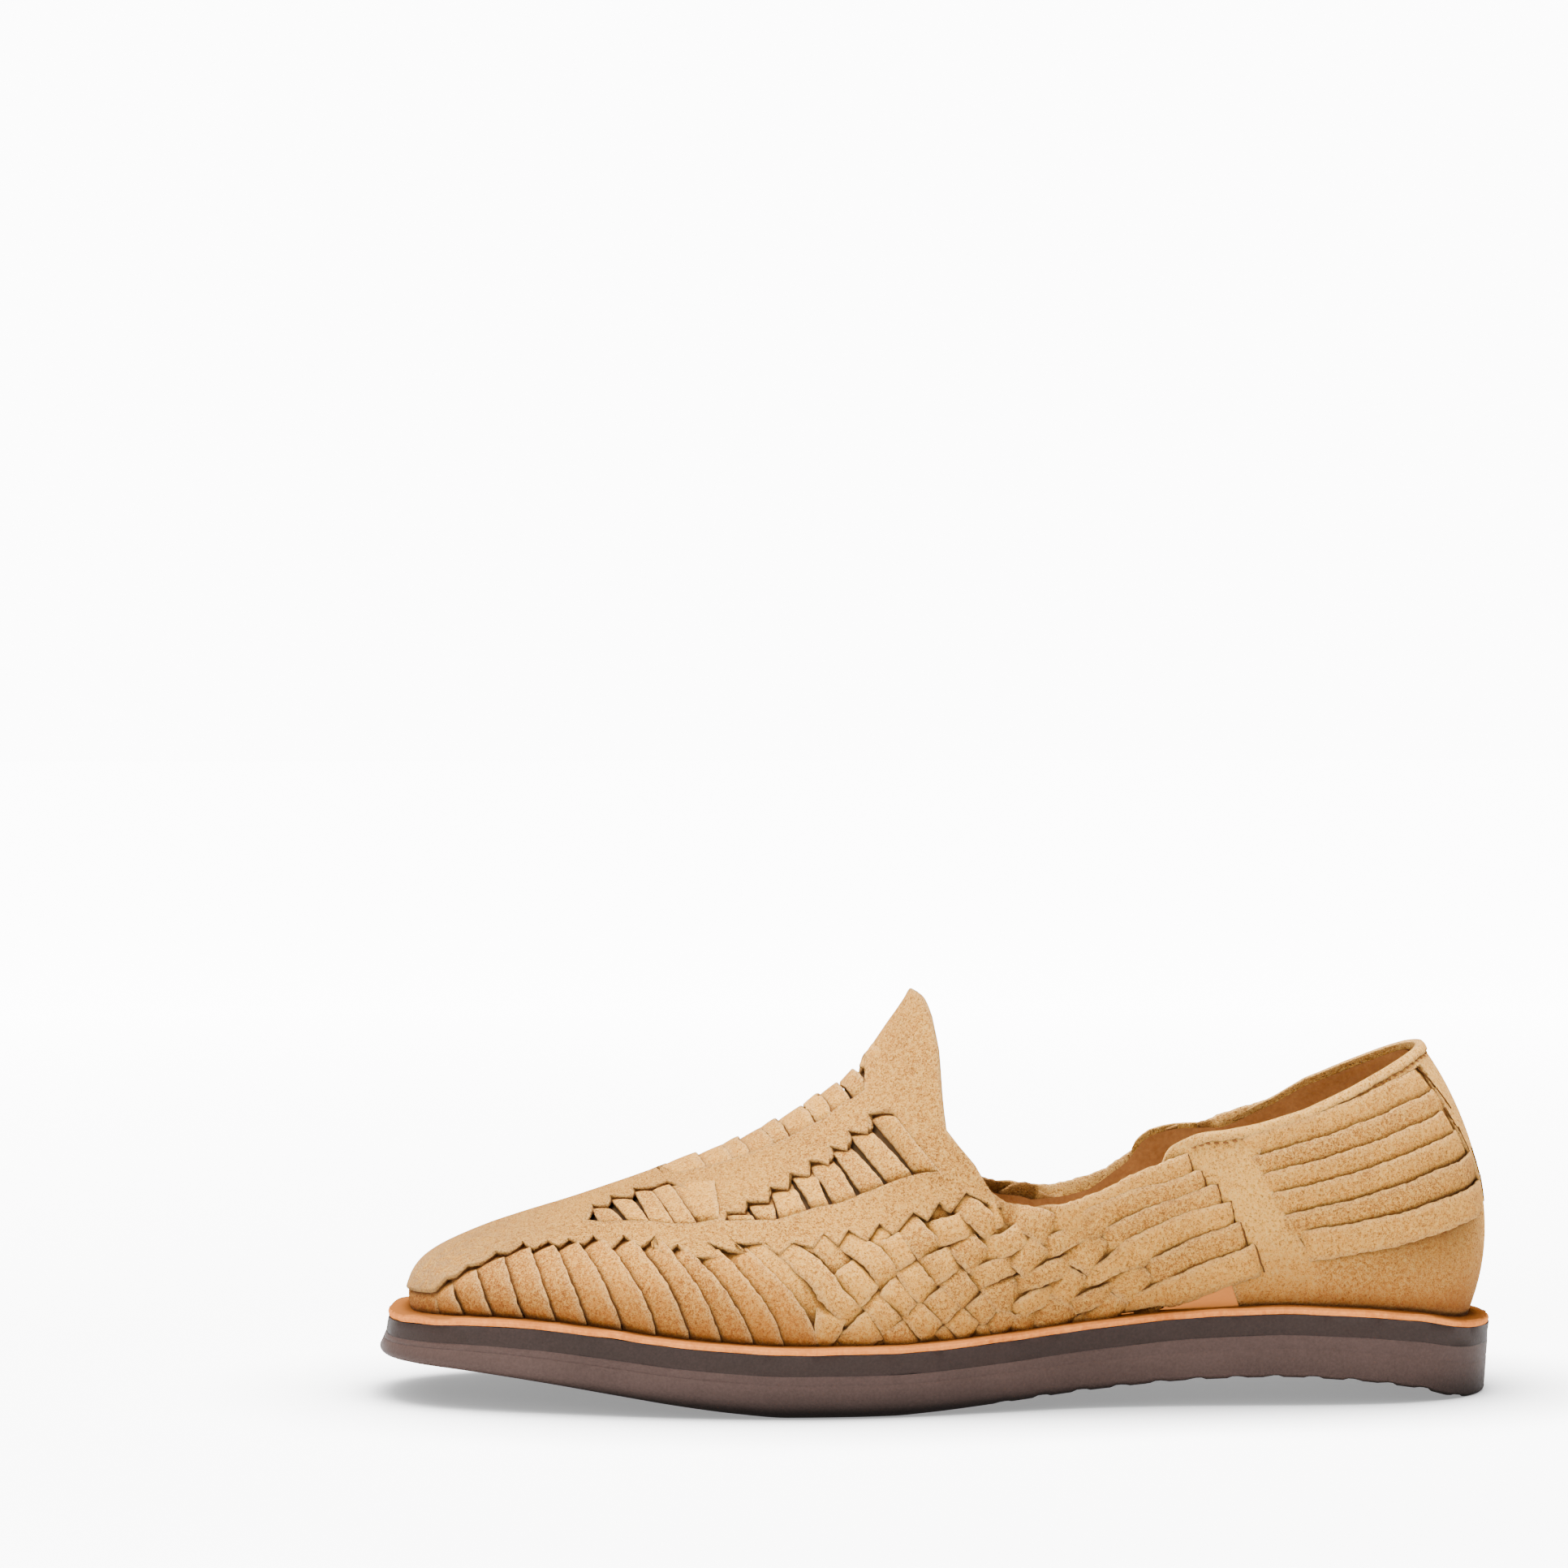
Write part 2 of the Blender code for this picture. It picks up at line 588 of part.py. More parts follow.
def upper_lifts(turn):
    row = float(row_of(np.array([turn]))[0])
    return np.linspace(0, crown_lift(row), UPPER_LEVELS + 1)


def topline_cutter():
    """Everything above the topline, as one prism across the shoe."""
    line = smooth_profile(side_view(TOPLINE), 3)
    front = (line[-1][0] + 0.6, CUT_TOP)
    profile = [(-CUT_MARGIN, CUT_TOP), (-CUT_MARGIN, line[0][1])] + line + [front]
    return side_prism("topline_cutter", profile, -CUT_SIDE, CUT_SIDE)


def waist_cutter():
    """The gap under the lowest strap, through both sides."""
    profile = [(s, float(footbed_top(s)[0]) + h) for s, h in WAIST_GAP]
    return side_prism("waist_cutter", profile, -CUT_SIDE, CUT_SIDE)


def build_upper(finish):
    rows = turn_steps(0, LAST_ROW, UPPER_SPACING)
    turns = rows + [2 * LAST_ROW - row for row in rows[-2:0:-1]]
    upper = add_object("upper", shell(turns, True, upper_lifts, 0.0, -UPPER_WALL), finish)
    cut(upper, topline_cutter())
    cut(upper, waist_cutter())
    return upper


def counter_front_cutter():
    """Trims the overlay ahead of its front edge."""
    line = side_view(COUNTER_FRONT)
    low = line[0][1] - 2 * CUT_MARGIN
    profile = [(CUT_FRONT, low), (line[0][0], low)] + line + [(line[-1][0], CUT_TOP), (CUT_FRONT, CUT_TOP)]
    return side_prism("counter_front_cutter", profile, -CUT_SIDE, CUT_SIDE)


def rear_window_cutters():
    """The two windows between ankle bar and back strip where the rear straps show."""
    rim = [(s, z - RIM_HEIGHT) for s, z in smooth_profile(side_view(TOPLINE[RIM_ROWS]), 2)]
    profile = side_view(WINDOW_BAR) + rim[::-1] + side_view(WINDOW_STRIP) + side_view(WINDOW_CUP)
    return [
        side_prism("outer_window_cutter", profile, BACK_STRIP_HALF_WIDTH, CUT_SIDE),
        side_prism("inner_window_cutter", profile, -CUT_SIDE, -BACK_STRIP_HALF_WIDTH),
    ]


def build_counter(finish):
    # the same columns as the upper's, so that the two walls' facets lie side by side
    rows = turn_steps(0, COUNTER_END_ROW, UPPER_SPACING)
    turns = [-row for row in rows[:0:-1]] + rows
    skin = shell(turns, False, upper_lifts, PIECE_GAP + COUNTER_WALL, PIECE_GAP)
    counter = add_object("heel_counter", skin, finish)
    cut(counter, topline_cutter())
    cut(counter, counter_front_cutter())
    for cutter in rear_window_cutters():
        cut(counter, cutter)
    return counter


# ---------------------------------------------------------------- build
def main():
    clear_scene()
    light_foam = material("light_foam", (0.19, 0.13, 0.115), 0.75)
    dark_foam = material("dark_foam", (0.075, 0.048, 0.038), 0.8)
    tan_leather = material("tan_leather", (0.60, 0.25, 0.09), 0.6)
    suede = material("suede", (0.58, 0.38, 0.17), 0.95)
    counter_suede = material("counter_suede", (0.60, 0.36, 0.15), 0.95)

    sole_rows = turn_steps(0, LAST_ROW, SOLE_SPACING)
    build_outsole(sole_rows, light_foam)
    build_midsole(sole_rows, dark_foam)
    build_footbed(sole_rows, tan_leather)
    build_upper(suede)
    build_counter(counter_suede)


main()
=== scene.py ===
# %% [markdown]
# # Woven suede huarache, left shoe
#
# A huarache is a slip-on sandal whose upper is plaited from one set of suede straps. The straps start
# under the sole, climb the sides, cross on the instep and run back to the heel counter. The part that
# is loaded first is a hollow last with a layered sole, and it says where everything goes. This lesson
# dresses it with the pieces that a maker would cut: sole layers, a leather board, a lining, the vamp,
# ribs, plaits, a counter and its straps.
#
# Lengths are in millimetres until a point goes into a mesh, in metres. Every piece of the upper is laid
# out on one chart of the last: `turn` says which section, `lift` how far up that section.

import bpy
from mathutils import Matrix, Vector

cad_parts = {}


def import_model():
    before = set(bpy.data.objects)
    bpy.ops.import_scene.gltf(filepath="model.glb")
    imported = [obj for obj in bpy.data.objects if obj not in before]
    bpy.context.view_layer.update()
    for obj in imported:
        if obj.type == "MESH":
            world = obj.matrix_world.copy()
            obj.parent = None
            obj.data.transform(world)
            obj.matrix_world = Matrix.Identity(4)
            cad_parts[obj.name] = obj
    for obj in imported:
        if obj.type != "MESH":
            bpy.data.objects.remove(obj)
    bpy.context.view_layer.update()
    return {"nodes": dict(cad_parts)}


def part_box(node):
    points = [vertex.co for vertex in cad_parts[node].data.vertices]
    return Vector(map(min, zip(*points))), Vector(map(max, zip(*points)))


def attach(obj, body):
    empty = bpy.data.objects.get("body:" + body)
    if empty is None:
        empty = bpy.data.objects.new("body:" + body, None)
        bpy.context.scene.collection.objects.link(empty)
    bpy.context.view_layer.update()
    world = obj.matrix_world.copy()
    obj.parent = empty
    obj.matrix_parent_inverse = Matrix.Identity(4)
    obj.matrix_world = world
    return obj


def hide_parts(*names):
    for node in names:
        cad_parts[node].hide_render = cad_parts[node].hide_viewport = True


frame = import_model()
print("frame nodes", sorted(frame["nodes"]))

# %%
from math import pi, radians

import bmesh
import bpy
import numpy as np
from mathutils import Matrix, Vector

MM = 0.001
BOARD_LOW, BOARD_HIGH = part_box("footbed")
SOLE_LOW, SOLE_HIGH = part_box("outsole")
UPPER_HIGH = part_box("upper")[1]
print("sole", round((SOLE_HIGH.x - SOLE_LOW.x) / MM, 1), "mm long")

# %% [markdown]
# ## The last
#
# A shoemaker's last is the solid foot that the upper is pulled over. It could be sculpted, but here it
# is worked out from the same table of sections as the part, so that every strap lies exactly on the
# part's wall. Each section has its own foot edge on the sole and its own point on the ridge of the
# instep.

# %%
BOARD_THICKNESS = 2.3
# the size that the tables are written for
TABLE_LENGTH = 288.0       # of the board
TABLE_WIDTH = 103.2        # of the board
TABLE_HEIGHT = 104.45      # of the tongue's tip

LENGTH_SCALE = (BOARD_HIGH.x - BOARD_LOW.x) / MM / TABLE_LENGTH
WIDTH_SCALE = (BOARD_HIGH.y - BOARD_LOW.y) / MM / TABLE_WIDTH
HEIGHT_SCALE = UPPER_HIGH.z / MM / TABLE_HEIGHT

# station from the heel, half widths, the welt's width, the ridge's place, and the section's shape.
# The rows were typed in and then adjusted by comparing outlines with a separate program.
SECTION_COLUMNS = (
    "station", "outer", "inner", "welt", "ridge_station", "ridge_shift", "ridge_height",
    "fullness", "bulge",
)
SECTIONS = (
    (0.0, 0.0, 0.0, 7.0, 37.0, 0.0, 99.6, 1.30, 5.3),
    (1.4, 10.5, 10.5, 7.0, 37.5, 0.0, 99.6, 1.30, 5.0),
    (5.5, 19.5, 20.0, 6.9, 38.8, 0.0, 99.6, 1.31, 4.5),
    (13.0, 27.0, 28.0, 6.8, 42.0, 0.0, 99.7, 1.33, 3.7),
    (25.0, 32.8, 33.8, 6.5, 49.0, 0.0, 100.3, 1.35, 3.1),
    (42.0, 35.5, 36.0, 6.2, 60.0, 0.0, 102.3, 1.33, 2.8),
    (64.0, 35.3, 34.8, 5.8, 73.0, 0.0, 105.0, 1.30, 2.5),
    (88.0, 35.2, 31.5, 5.1, 92.0, 0.5, 109.0, 1.15, 2.3),
    (112.0, 37.6, 30.0, 4.6, 113.0, 1.5, 112.0, 0.95, 2.4),
    (132.0, 43.2, 32.5, 4.6, 132.0, 2.0, 113.0, 0.72, 2.8),
    (147.0, 47.8, 36.0, 4.8, 147.0, 2.0, 109.8, 0.60, 3.2),
    (157.0, 50.3, 39.0, 5.0, 156.0, 1.5, 97.8, 0.58, 3.4),
    (167.0, 52.2, 42.2, 5.1, 166.0, 0.8, 83.8, 0.63, 3.4),
    (178.0, 53.0, 45.0, 5.2, 177.0, 0.0, 75.7, 0.72, 3.3),
    (198.0, 52.0, 49.0, 5.4, 196.0, -2.0, 65.2, 0.88, 3.3),
    (217.0, 48.3, 50.2, 5.6, 213.0, -4.0, 58.8, 1.00, 3.2),
    (236.0, 42.0, 48.6, 5.8, 228.0, -5.0, 53.5, 1.03, 3.0),
    (254.0, 35.0, 44.8, 6.0, 240.0, -5.5, 49.5, 1.06, 2.6),
    (268.0, 28.5, 39.0, 6.2, 249.0, -6.0, 46.8, 1.08, 2.0),
    (279.0, 20.5, 31.5, 6.3, 254.0, -6.0, 45.3, 1.12, 1.5),
    (285.5, 10.5, 21.5, 6.4, 256.5, -6.0, 44.55, 1.14, 1.2),
    (288.0, -6.0, 6.0, 6.4, 257.5, -6.0, 44.25, 1.14, 1.0),
)
TOE = len(SECTIONS) - 1    # the turn at the toe end; 2 * TOE is the heel end again

SOLE_COLUMNS = ("station", "tread", "light", "dark", "flare", "edge")
SOLE_PROFILE = (
    (0.0, 0.0, 13.2, 4.1, -1.2, 1.0),
    (7.0, 0.0, 13.2, 4.5, -1.2, 1.0),
    (24.0, 3.8, 12.0, 4.9, -0.8, 1.0),
    (42.0, 6.3, 11.2, 4.9, -0.4, 1.0),
    (60.0, 7.3, 10.9, 4.9, 0.0, 1.0),
    (80.0, 6.8, 10.7, 4.9, 0.0, 1.2),
    (105.0, 4.8, 10.5, 4.9, 0.0, 2.0),
    (130.0, 2.2, 10.6, 4.9, 0.0, 3.2),
    (150.0, 0.5, 10.8, 4.9, 0.0, 4.0),
    (160.0, 0.0, 10.9, 4.9, 0.0, 4.2),
    (187.0, 0.0, 10.9, 4.9, 0.0, 4.2),
    (200.0, 0.9, 10.6, 4.9, 0.0, 4.2),
    (215.0, 2.6, 10.0, 4.9, 0.1, 4.0),
    (232.0, 5.0, 9.4, 4.9, 0.4, 3.6),
    (250.0, 7.6, 8.4, 4.8, 0.9, 3.0),
    (270.0, 9.9, 6.7, 4.2, 1.6, 2.2),
    (288.0, 11.0, 5.2, 3.6, 2.3, 1.4),
)


def read_columns(names, rows):
    return {name: np.array([row[i] for row in rows], float) for i, name in enumerate(names)}


LAST = read_columns(SECTION_COLUMNS, SECTIONS)
SOLE = read_columns(SOLE_COLUMNS, SOLE_PROFILE)


# %% [markdown]
# The tables are read through smooth curves. A cubic between two rows keeps the rows' own values, so the
# surface passes through every row, and slopes that never overshoot keep level stretches of the sole
# level.

# %%
def hermite(x, knots, values, slopes):
    """Cubic through values with given slopes at the knots; x is an array."""
    i = np.clip(np.searchsorted(knots, x, side="right") - 1, 0, len(knots) - 2)
    step = knots[i + 1] - knots[i]
    f = (x - knots[i]) / step
    shape = (-1,) + (1,) * (values.ndim - 1)
    f = f.reshape(shape)
    step = step.reshape(shape)
    return (
        (2 * f**3 - 3 * f**2 + 1) * values[i]
        + (f**3 - 2 * f**2 + f) * step * slopes[i]
        + (-2 * f**3 + 3 * f**2) * values[i + 1]
        + (f**3 - f**2) * step * slopes[i + 1]
    )


def smooth_slopes(knots, values, closed=False, free=False):
    """Slopes of a curve through unevenly spaced knots; open ends are level unless free."""
    step = np.diff(knots)
    shape = (-1,) + (1,) * (values.ndim - 1)
    rise = np.diff(values, axis=0) / step.reshape(shape)
    slopes = np.zeros_like(values)
    before = step[:-1].reshape(shape)
    after = step[1:].reshape(shape)
    slopes[1:-1] = (rise[:-1] * after + rise[1:] * before) / (before + after)
    if closed:
        slopes[0] = (rise[-1] * step[0] + rise[0] * step[-1]) / (step[0] + step[-1])
        slopes[-1] = slopes[0]
    if free:
        slopes[0] = rise[0]
        slopes[-1] = rise[-1]
    return slopes


def level_slopes(knots, values):
    """Slopes that never overshoot, so that level stretches stay level."""
    step = np.diff(knots)
    rise = np.diff(values) / step
    slopes = np.zeros_like(values)
    for i in range(1, len(values) - 1):
        if rise[i - 1] * rise[i] > 0:
            w0 = 2 * step[i] + step[i - 1]
            w1 = step[i] + 2 * step[i - 1]
            slopes[i] = (w0 + w1) / (w0 / rise[i - 1] + w1 / rise[i])
    slopes[0] = rise[0]
    slopes[-1] = rise[-1]
    return slopes


SOLE_SLOPES = {name: level_slopes(SOLE["station"], SOLE[name]) for name in SOLE_COLUMNS[1:]}


def sole_at(name, station):
    """A column of the sole's profile at any station."""
    knots = SOLE["station"]
    x = np.clip(np.atleast_1d(np.asarray(station, float)), knots[0], knots[-1])
    return hermite(x, knots, SOLE[name], SOLE_SLOPES[name])


def board_top(station):
    layers = sole_at("light", station) + sole_at("dark", station) + BOARD_THICKNESS
    return sole_at("tread", station) + layers


def outline_loop():
    """Footbed outline through the table's points: outer side heel to toe, inner side back again."""
    outer = np.stack([LAST["station"], LAST["outer"]], 1)
    inner = np.stack([LAST["station"], -LAST["inner"]], 1)
    loop = np.concatenate([outer, inner[::-1][1:]])
    knots = np.concatenate([[0.0], np.cumsum(np.linalg.norm(np.diff(loop, axis=0), axis=1))])
    return knots, loop, smooth_slopes(knots, loop, closed=True)


LOOP_KNOTS, LOOP_POINTS, LOOP_SLOPES = outline_loop()
ROW_KNOTS = LOOP_KNOTS[: TOE + 1]
LAST_SLOPES = {name: smooth_slopes(ROW_KNOTS, LAST[name]) for name in SECTION_COLUMNS}
RIDGE_SLOPES = smooth_slopes(LAST["ridge_station"], LAST["ridge_height"], free=True)


def outline(turn):
    """Footbed outline; turn 0 is the heel end, TOE the toe end, 2 * TOE the heel again."""
    turn = np.mod(np.asarray(turn, float), 2 * TOE)
    i = np.floor(turn).astype(int)
    run = LOOP_KNOTS[i] + (LOOP_KNOTS[i + 1] - LOOP_KNOTS[i]) * (turn - i)
    return hermite(run, LOOP_KNOTS, LOOP_POINTS, LOOP_SLOPES)


def outward(turn):
    """Unit direction away from the footbed, square to its outline."""
    ahead = outline(np.asarray(turn, float) + 0.001) - outline(np.asarray(turn, float) - 0.001)
    ahead /= np.linalg.norm(ahead, axis=1, keepdims=True)
    return np.stack([-ahead[:, 1], ahead[:, 0]], 1)


def last_at(name, turn):
    """A column of the last at any turn; both sides of the shoe read the same row."""
    turn = np.mod(np.asarray(turn, float), 2 * TOE)
    row = np.minimum(turn, 2 * TOE - turn)
    i = np.clip(np.floor(row).astype(int), 0, TOE - 1)
    run = ROW_KNOTS[i] + (ROW_KNOTS[i + 1] - ROW_KNOTS[i]) * (row - i)
    return hermite(run, ROW_KNOTS, LAST[name], LAST_SLOPES[name])


def ridge_height(station):
    return hermite(station, LAST["ridge_station"], LAST["ridge_height"], RIDGE_SLOPES)


def ridge_slope(turn):
    """How steeply the ridge climbs where a section meets it."""
    ends = LAST["ridge_station"][[0, -1]]
    station = np.clip(last_at("ridge_station", turn), ends[0] + 0.5, ends[1] - 0.5)
    return ridge_height(station + 0.5) - ridge_height(station - 0.5)


def last_surface(turn, lift):
    """Outside of the upper; lift 0 is the edge on the board and pi / 2 the ridge."""
    foot = outline(turn) - outward(turn) * last_at("welt", turn)[:, None]
    ridge = np.stack([last_at("ridge_station", turn), last_at("ridge_shift", turn)], 1)
    reach = np.linalg.norm(ridge - foot, axis=1)
    inward = (ridge - foot) / reach[:, None]
    share = np.sin(lift)
    # the bulge is greatest a third of the way up, where share * (1 - share)**2 is 4 / 27
    swell = last_at("bulge", turn) * (27 / 4) * share * (1 - share) ** 2
    run = reach * (1 - np.cos(lift)) ** last_at("fullness", turn) - swell
    base = board_top(foot[:, 0])
    climb = (ridge_height(ridge[:, 0]) - base) * share
    # near the ridge a section leans with the ridge's own slope, so that both sides meet smoothly
    lean = ridge_slope(turn) * inward[:, 0] * (run - reach) * share**3
    return np.column_stack([foot + inward * run[:, None], base + climb + lean])


# %% [markdown]
# Straps cross the ridge, so the chart is folded there: a lift past a quarter turn comes down the other
# side. `on_last` gives a point at any height over the wall, which is how straps are laid over and under
# each other.

# %%
def fold(turn, lift):
    """Chart points past the ridge, read from the other side of the shoe."""
    turn = np.asarray(turn, float)
    lift = np.asarray(lift, float)
    past = lift > pi / 2
    return np.where(past, 2 * TOE - turn, turn), np.where(past, pi - lift, lift)


def wall_at(turn, lift):
    return last_surface(*fold(turn, lift))


def normal_at(turn, lift):
    """Unit direction out of the wall."""
    turn, lift = fold(turn, lift)
    along = last_surface(turn + 0.01, lift) - last_surface(turn - 0.01, lift)
    high = np.minimum(lift + 0.01, pi / 2)
    up = last_surface(turn, high) - last_surface(turn, high - 0.02)
    normal = np.cross(up, along)
    top = lift > pi / 2 - 1e-3
    normal[top] = np.column_stack([-ridge_slope(turn[top]), np.zeros(top.sum()), np.ones(top.sum())])
    return normal / np.linalg.norm(normal, axis=1, keepdims=True)


def on_last(turn, lift, offset):
    return wall_at(turn, lift) + normal_at(turn, lift) * np.asarray(offset)[:, None]


FULL_OUTLINE = outline(np.linspace(0, 2 * TOE, 2000))
ORIGIN_STATION = (TABLE_LENGTH + SOLE["flare"][-1]) / 2
ORIGIN_SIDE = (FULL_OUTLINE[:, 1].max() + FULL_OUTLINE[:, 1].min()) / 2
ORIGIN = np.array([ORIGIN_STATION, ORIGIN_SIDE, 0.0])
SCALE = np.array([LENGTH_SCALE, WIDTH_SCALE, HEIGHT_SCALE])


def world(points):
    """Table millimetres to metres in the part's frame."""
    return (np.asarray(points, float) - ORIGIN) * SCALE * MM


def find_on_last(station, height):
    """Chart place (turn, lift) of a point seen square from the outer side."""
    turns, lifts = np.meshgrid(np.arange(0.5, TOE, 0.25), np.arange(0.0, 1.5, 0.05), indexing="ij")
    wall = wall_at(turns.ravel(), lifts.ravel())
    near = np.argmin(np.hypot(wall[:, 0] - station, wall[:, 2] - height))
    place = np.array([turns.ravel()[near], lifts.ravel()[near]])
    for _ in range(12):
        probe = wall_at(place[0] + np.array([0, 0.01, 0]), place[1] + np.array([0, 0, 0.01]))[:, [0, 2]]
        slope = (probe[1:] - probe[0]).T / 0.01
        miss = np.array([station, height]) - probe[0]
        place = place + np.clip(np.linalg.solve(slope, miss), -0.5, 0.5)
    return place


def chart_line(rows):
    """Chart places of a side-view table of (station, height)."""
    return np.array([find_on_last(s, z) for s, z in rows])


toe_tip = world(wall_at(np.array([TOE]), np.array([0.0])))[0]
print("toe end of the wall at", np.round(toe_tip / MM, 1), "mm")

# %% [markdown]
# ## Laying a strap
#
# A strap is a long flat bar with softly rounded raw edges. A curve with a bevel could draw it, but such
# a curve doesn't know the last. Here each strap starts as a grid of squares. Its long side follows a
# path on the chart, its short side is wrapped round the strap's own section, and the seam is merged.
# Four things about each point are stored with it for the materials: how near it is to a raw edge, how
# near to the board, the tone of its strap, because no two strips of a hide are quite the same, and how
# much painted shade it gets where it sinks under another strap or is lapped by the next.

# %%
STRAP_THICKNESS = 1.3
SAMPLE = 1.2               # mm between rings of a strap
EDGE_ANGLES = (0, 45, 90)
EDGE_ROUND = 0.32          # radius of a strap's edge as a share of its thickness
FOOT_FADE = 4.0            # mm over which closeness to the board fades
POINT_FIELDS = ("rim", "foot", "tone", "painted_shade")

chance = np.random.default_rng(7)


def fields_of(bm):
    return [bm.verts.layers.float.get(name) or bm.verts.layers.float.new(name) for name in POINT_FIELDS]


def set_points(verts, points, layers, values):
    for k, vert in enumerate(verts):
        vert.co = points[k]
        for layer, column in zip(layers, values):
            vert[layer] = column[k]


def foot_closeness(points):
    """1 at the board, fading upwards."""
    return np.exp(-np.clip(points[:, 2] - board_top(points[:, 0]), 0, None) / FOOT_FADE)


def smooth_path(chart, side, spacing=SAMPLE):
    """Even samples of a smooth curve through chart places, and the distance run at each."""
    chart = np.array(chart, float)
    if side < 0:
        chart[:, 0] = 2 * TOE - chart[:, 0]
    corners = wall_at(chart[:, 0], chart[:, 1])
    knots = np.concatenate([[0.0], np.cumsum(np.linalg.norm(np.diff(corners, axis=0), axis=1))])
    slopes = smooth_slopes(knots, chart, free=True)
    fine = np.linspace(0, knots[-1], 200)
    trail = hermite(fine, knots, chart, slopes)
    run = np.concatenate([[0.0], np.cumsum(np.linalg.norm(np.diff(wall_at(*trail.T), axis=0), axis=1))])
    even = np.linspace(0, run[-1], max(6, int(round(run[-1] / spacing)) + 1))
    places = np.column_stack([np.interp(even, run, trail[:, 0]), np.interp(even, run, trail[:, 1])])
    return places, even


def chart_step(place, move):
    """The step on the chart that carries the wall's points along by a small move."""
    turn, lift = place.T
    along = (wall_at(turn + 0.01, lift) - wall_at(turn - 0.01, lift)) / 0.02
    up = (wall_at(turn, lift + 0.005) - wall_at(turn, lift - 0.005)) / 0.01
    aa, au, uu = ((p * q).sum(1) for p, q in ((along, along), (along, up), (up, up)))
    da, du = (along * move).sum(1), (up * move).sum(1)
    return np.column_stack([da * uu - du * au, du * aa - da * au]) / (aa * uu - au * au)[:, None]


def sidestep(places, across, distance):
    """Chart places a distance away along the wall, square to the strap."""
    place = places.copy()
    for _ in range(3):
        place = place + chart_step(place, across * (distance / 3)[:, None])
    return place


def straight(start, end, shares):
    """Chart places of a taut line over the wall between two chart places."""
    ends = wall_at(*np.array([start, end]).T)
    place = start + (end - start) * shares[:, None]
    taut = ends[0] + (ends[1] - ends[0]) * shares[:, None]
    for _ in range(4):
        place = place + chart_step(place, taut - wall_at(*place.T))
    return place


def nodes_at(nodes, run):
    """Value at each distance from one number or a few (distance, value) nodes, level at every node."""
    if isinstance(nodes, (int, float)):
        return np.full(len(run), float(nodes))
    x, y = np.array(sorted(nodes), float).T
    i = np.clip(np.searchsorted(x, run, side="right") - 1, 0, len(x) - 2)
    f = np.clip((run - x[i]) / np.maximum(x[i + 1] - x[i], 0.001), 0, 1)
    return y[i] + (y[i + 1] - y[i]) * (3 * f**2 - 2 * f**3)


WANDER_RATES = (0.4, 1.1, 2.4)    # turns of the wandering cut, in radians to the mm


def knife_wander(run, size=0.1):
    """A cut edge is never quite straight."""
    phases = chance.uniform(0, 6, 3)
    return sum(size * np.sin(run * rate + phase) for rate, phase in zip(WANDER_RATES, phases))


def path_edges(chart, side, width):
    """The two edges of a strap whose middle follows the path. The first is the heel-side edge of a strap
    that runs down, and the upper edge of one that runs back."""
    places, run = smooth_path(chart, side)
    ahead = np.gradient(wall_at(*places.T), axis=0)
    across = np.cross(normal_at(*places.T), ahead) * side
    across /= np.linalg.norm(across, axis=1, keepdims=True)
    half = nodes_at(width, run) / 2
    first = sidestep(places, across, half + knife_wander(run))
    second = sidestep(places, across, -half - knife_wander(run))
    return first, second, run


def corner_edges(corners, side, tuck, spare=0.0):
    """The two edges of a taut strap between given corners: top front, top rear, foot front, foot rear.
    Each edge is carried on by tuck mm at both ends, under what covers it."""
    corners = np.array(corners, float).reshape(4, 2)
    if side < 0:
        corners[:, 0] = 2 * TOE - corners[:, 0]
    wall = wall_at(*corners.T)
    lengths = [np.linalg.norm(wall[3] - wall[1]), np.linalg.norm(wall[2] - wall[0])]
    run = np.linspace(0, np.mean(lengths) + 2 * tuck, int(np.mean(lengths) + 2 * tuck) + 2)
    edges = []
    for top, foot, length in ((1, 3, lengths[0]), (0, 2, lengths[1])):
        share = -tuck / length + (1 + 2 * tuck / length) * run / run[-1]
        edges.append(straight(corners[top], corners[foot], share))
    middle = (edges[0] + edges[1]) / 2
    size = np.linalg.norm(wall_at(*edges[0].T) - wall_at(*edges[1].T), axis=1)
    widen = 1 + (spare + 2 * knife_wander(run, 0.07)) / size
    return *(middle + (edge - middle) * widen[:, None] for edge in edges), run


ROOM_LEAST, ROOM_MOST = 5.0, 11.5    # mm


def room_beside(path, neighbours, side):
    """Width nodes that follow the room between a strap's neighbours: the mean distance to them."""
    places, run = smooth_path(path, side, 4.0)
    here = wall_at(*places.T)
    gaps = []
    for other in neighbours:
        there = wall_at(*smooth_path(other, side, 1.0)[0].T)
        gaps.append(np.linalg.norm(here[:, None] - there[None], axis=2).min(1))
    room = np.clip(np.mean(gaps, axis=0), ROOM_LEAST, ROOM_MOST)
    return list(zip(run, room))


def strap_section(half_width, thick, top_steps):
    """(sideways share, height) round a strap's section: over the top and back underneath."""
    corner = EDGE_ROUND * thick
    edge = [(1 - corner / half_width * (1 - np.cos(radians(a))), thick / 2 * np.sin(radians(a)))
            for a in EDGE_ANGLES]
    reach = edge[-1][0]
    section = [(-share, height) for share, height in edge]
    section += [(share, thick / 2) for share in np.linspace(-reach, reach, top_steps + 1)[1:-1]]
    section += edge[::-1]
    section += [(share, -thick / 2) for share in np.linspace(reach, -reach, 3)]
    return np.array(section + section[:1])


# Painted shade: straps are made darker along the edge that the next strap laps, and where they sink under
# another.
LAP_SHADE = 1.1            # how dark a strap is where the next one laps it
LAP_REACH = 1.8            # mm that this shade reaches
RIM_REACH = 0.5            # mm that the raw edge's paleness reaches
SINK_START, SINK_DEPTH = 0.5, 1.1    # height below which a strap darkens, and over how many mm


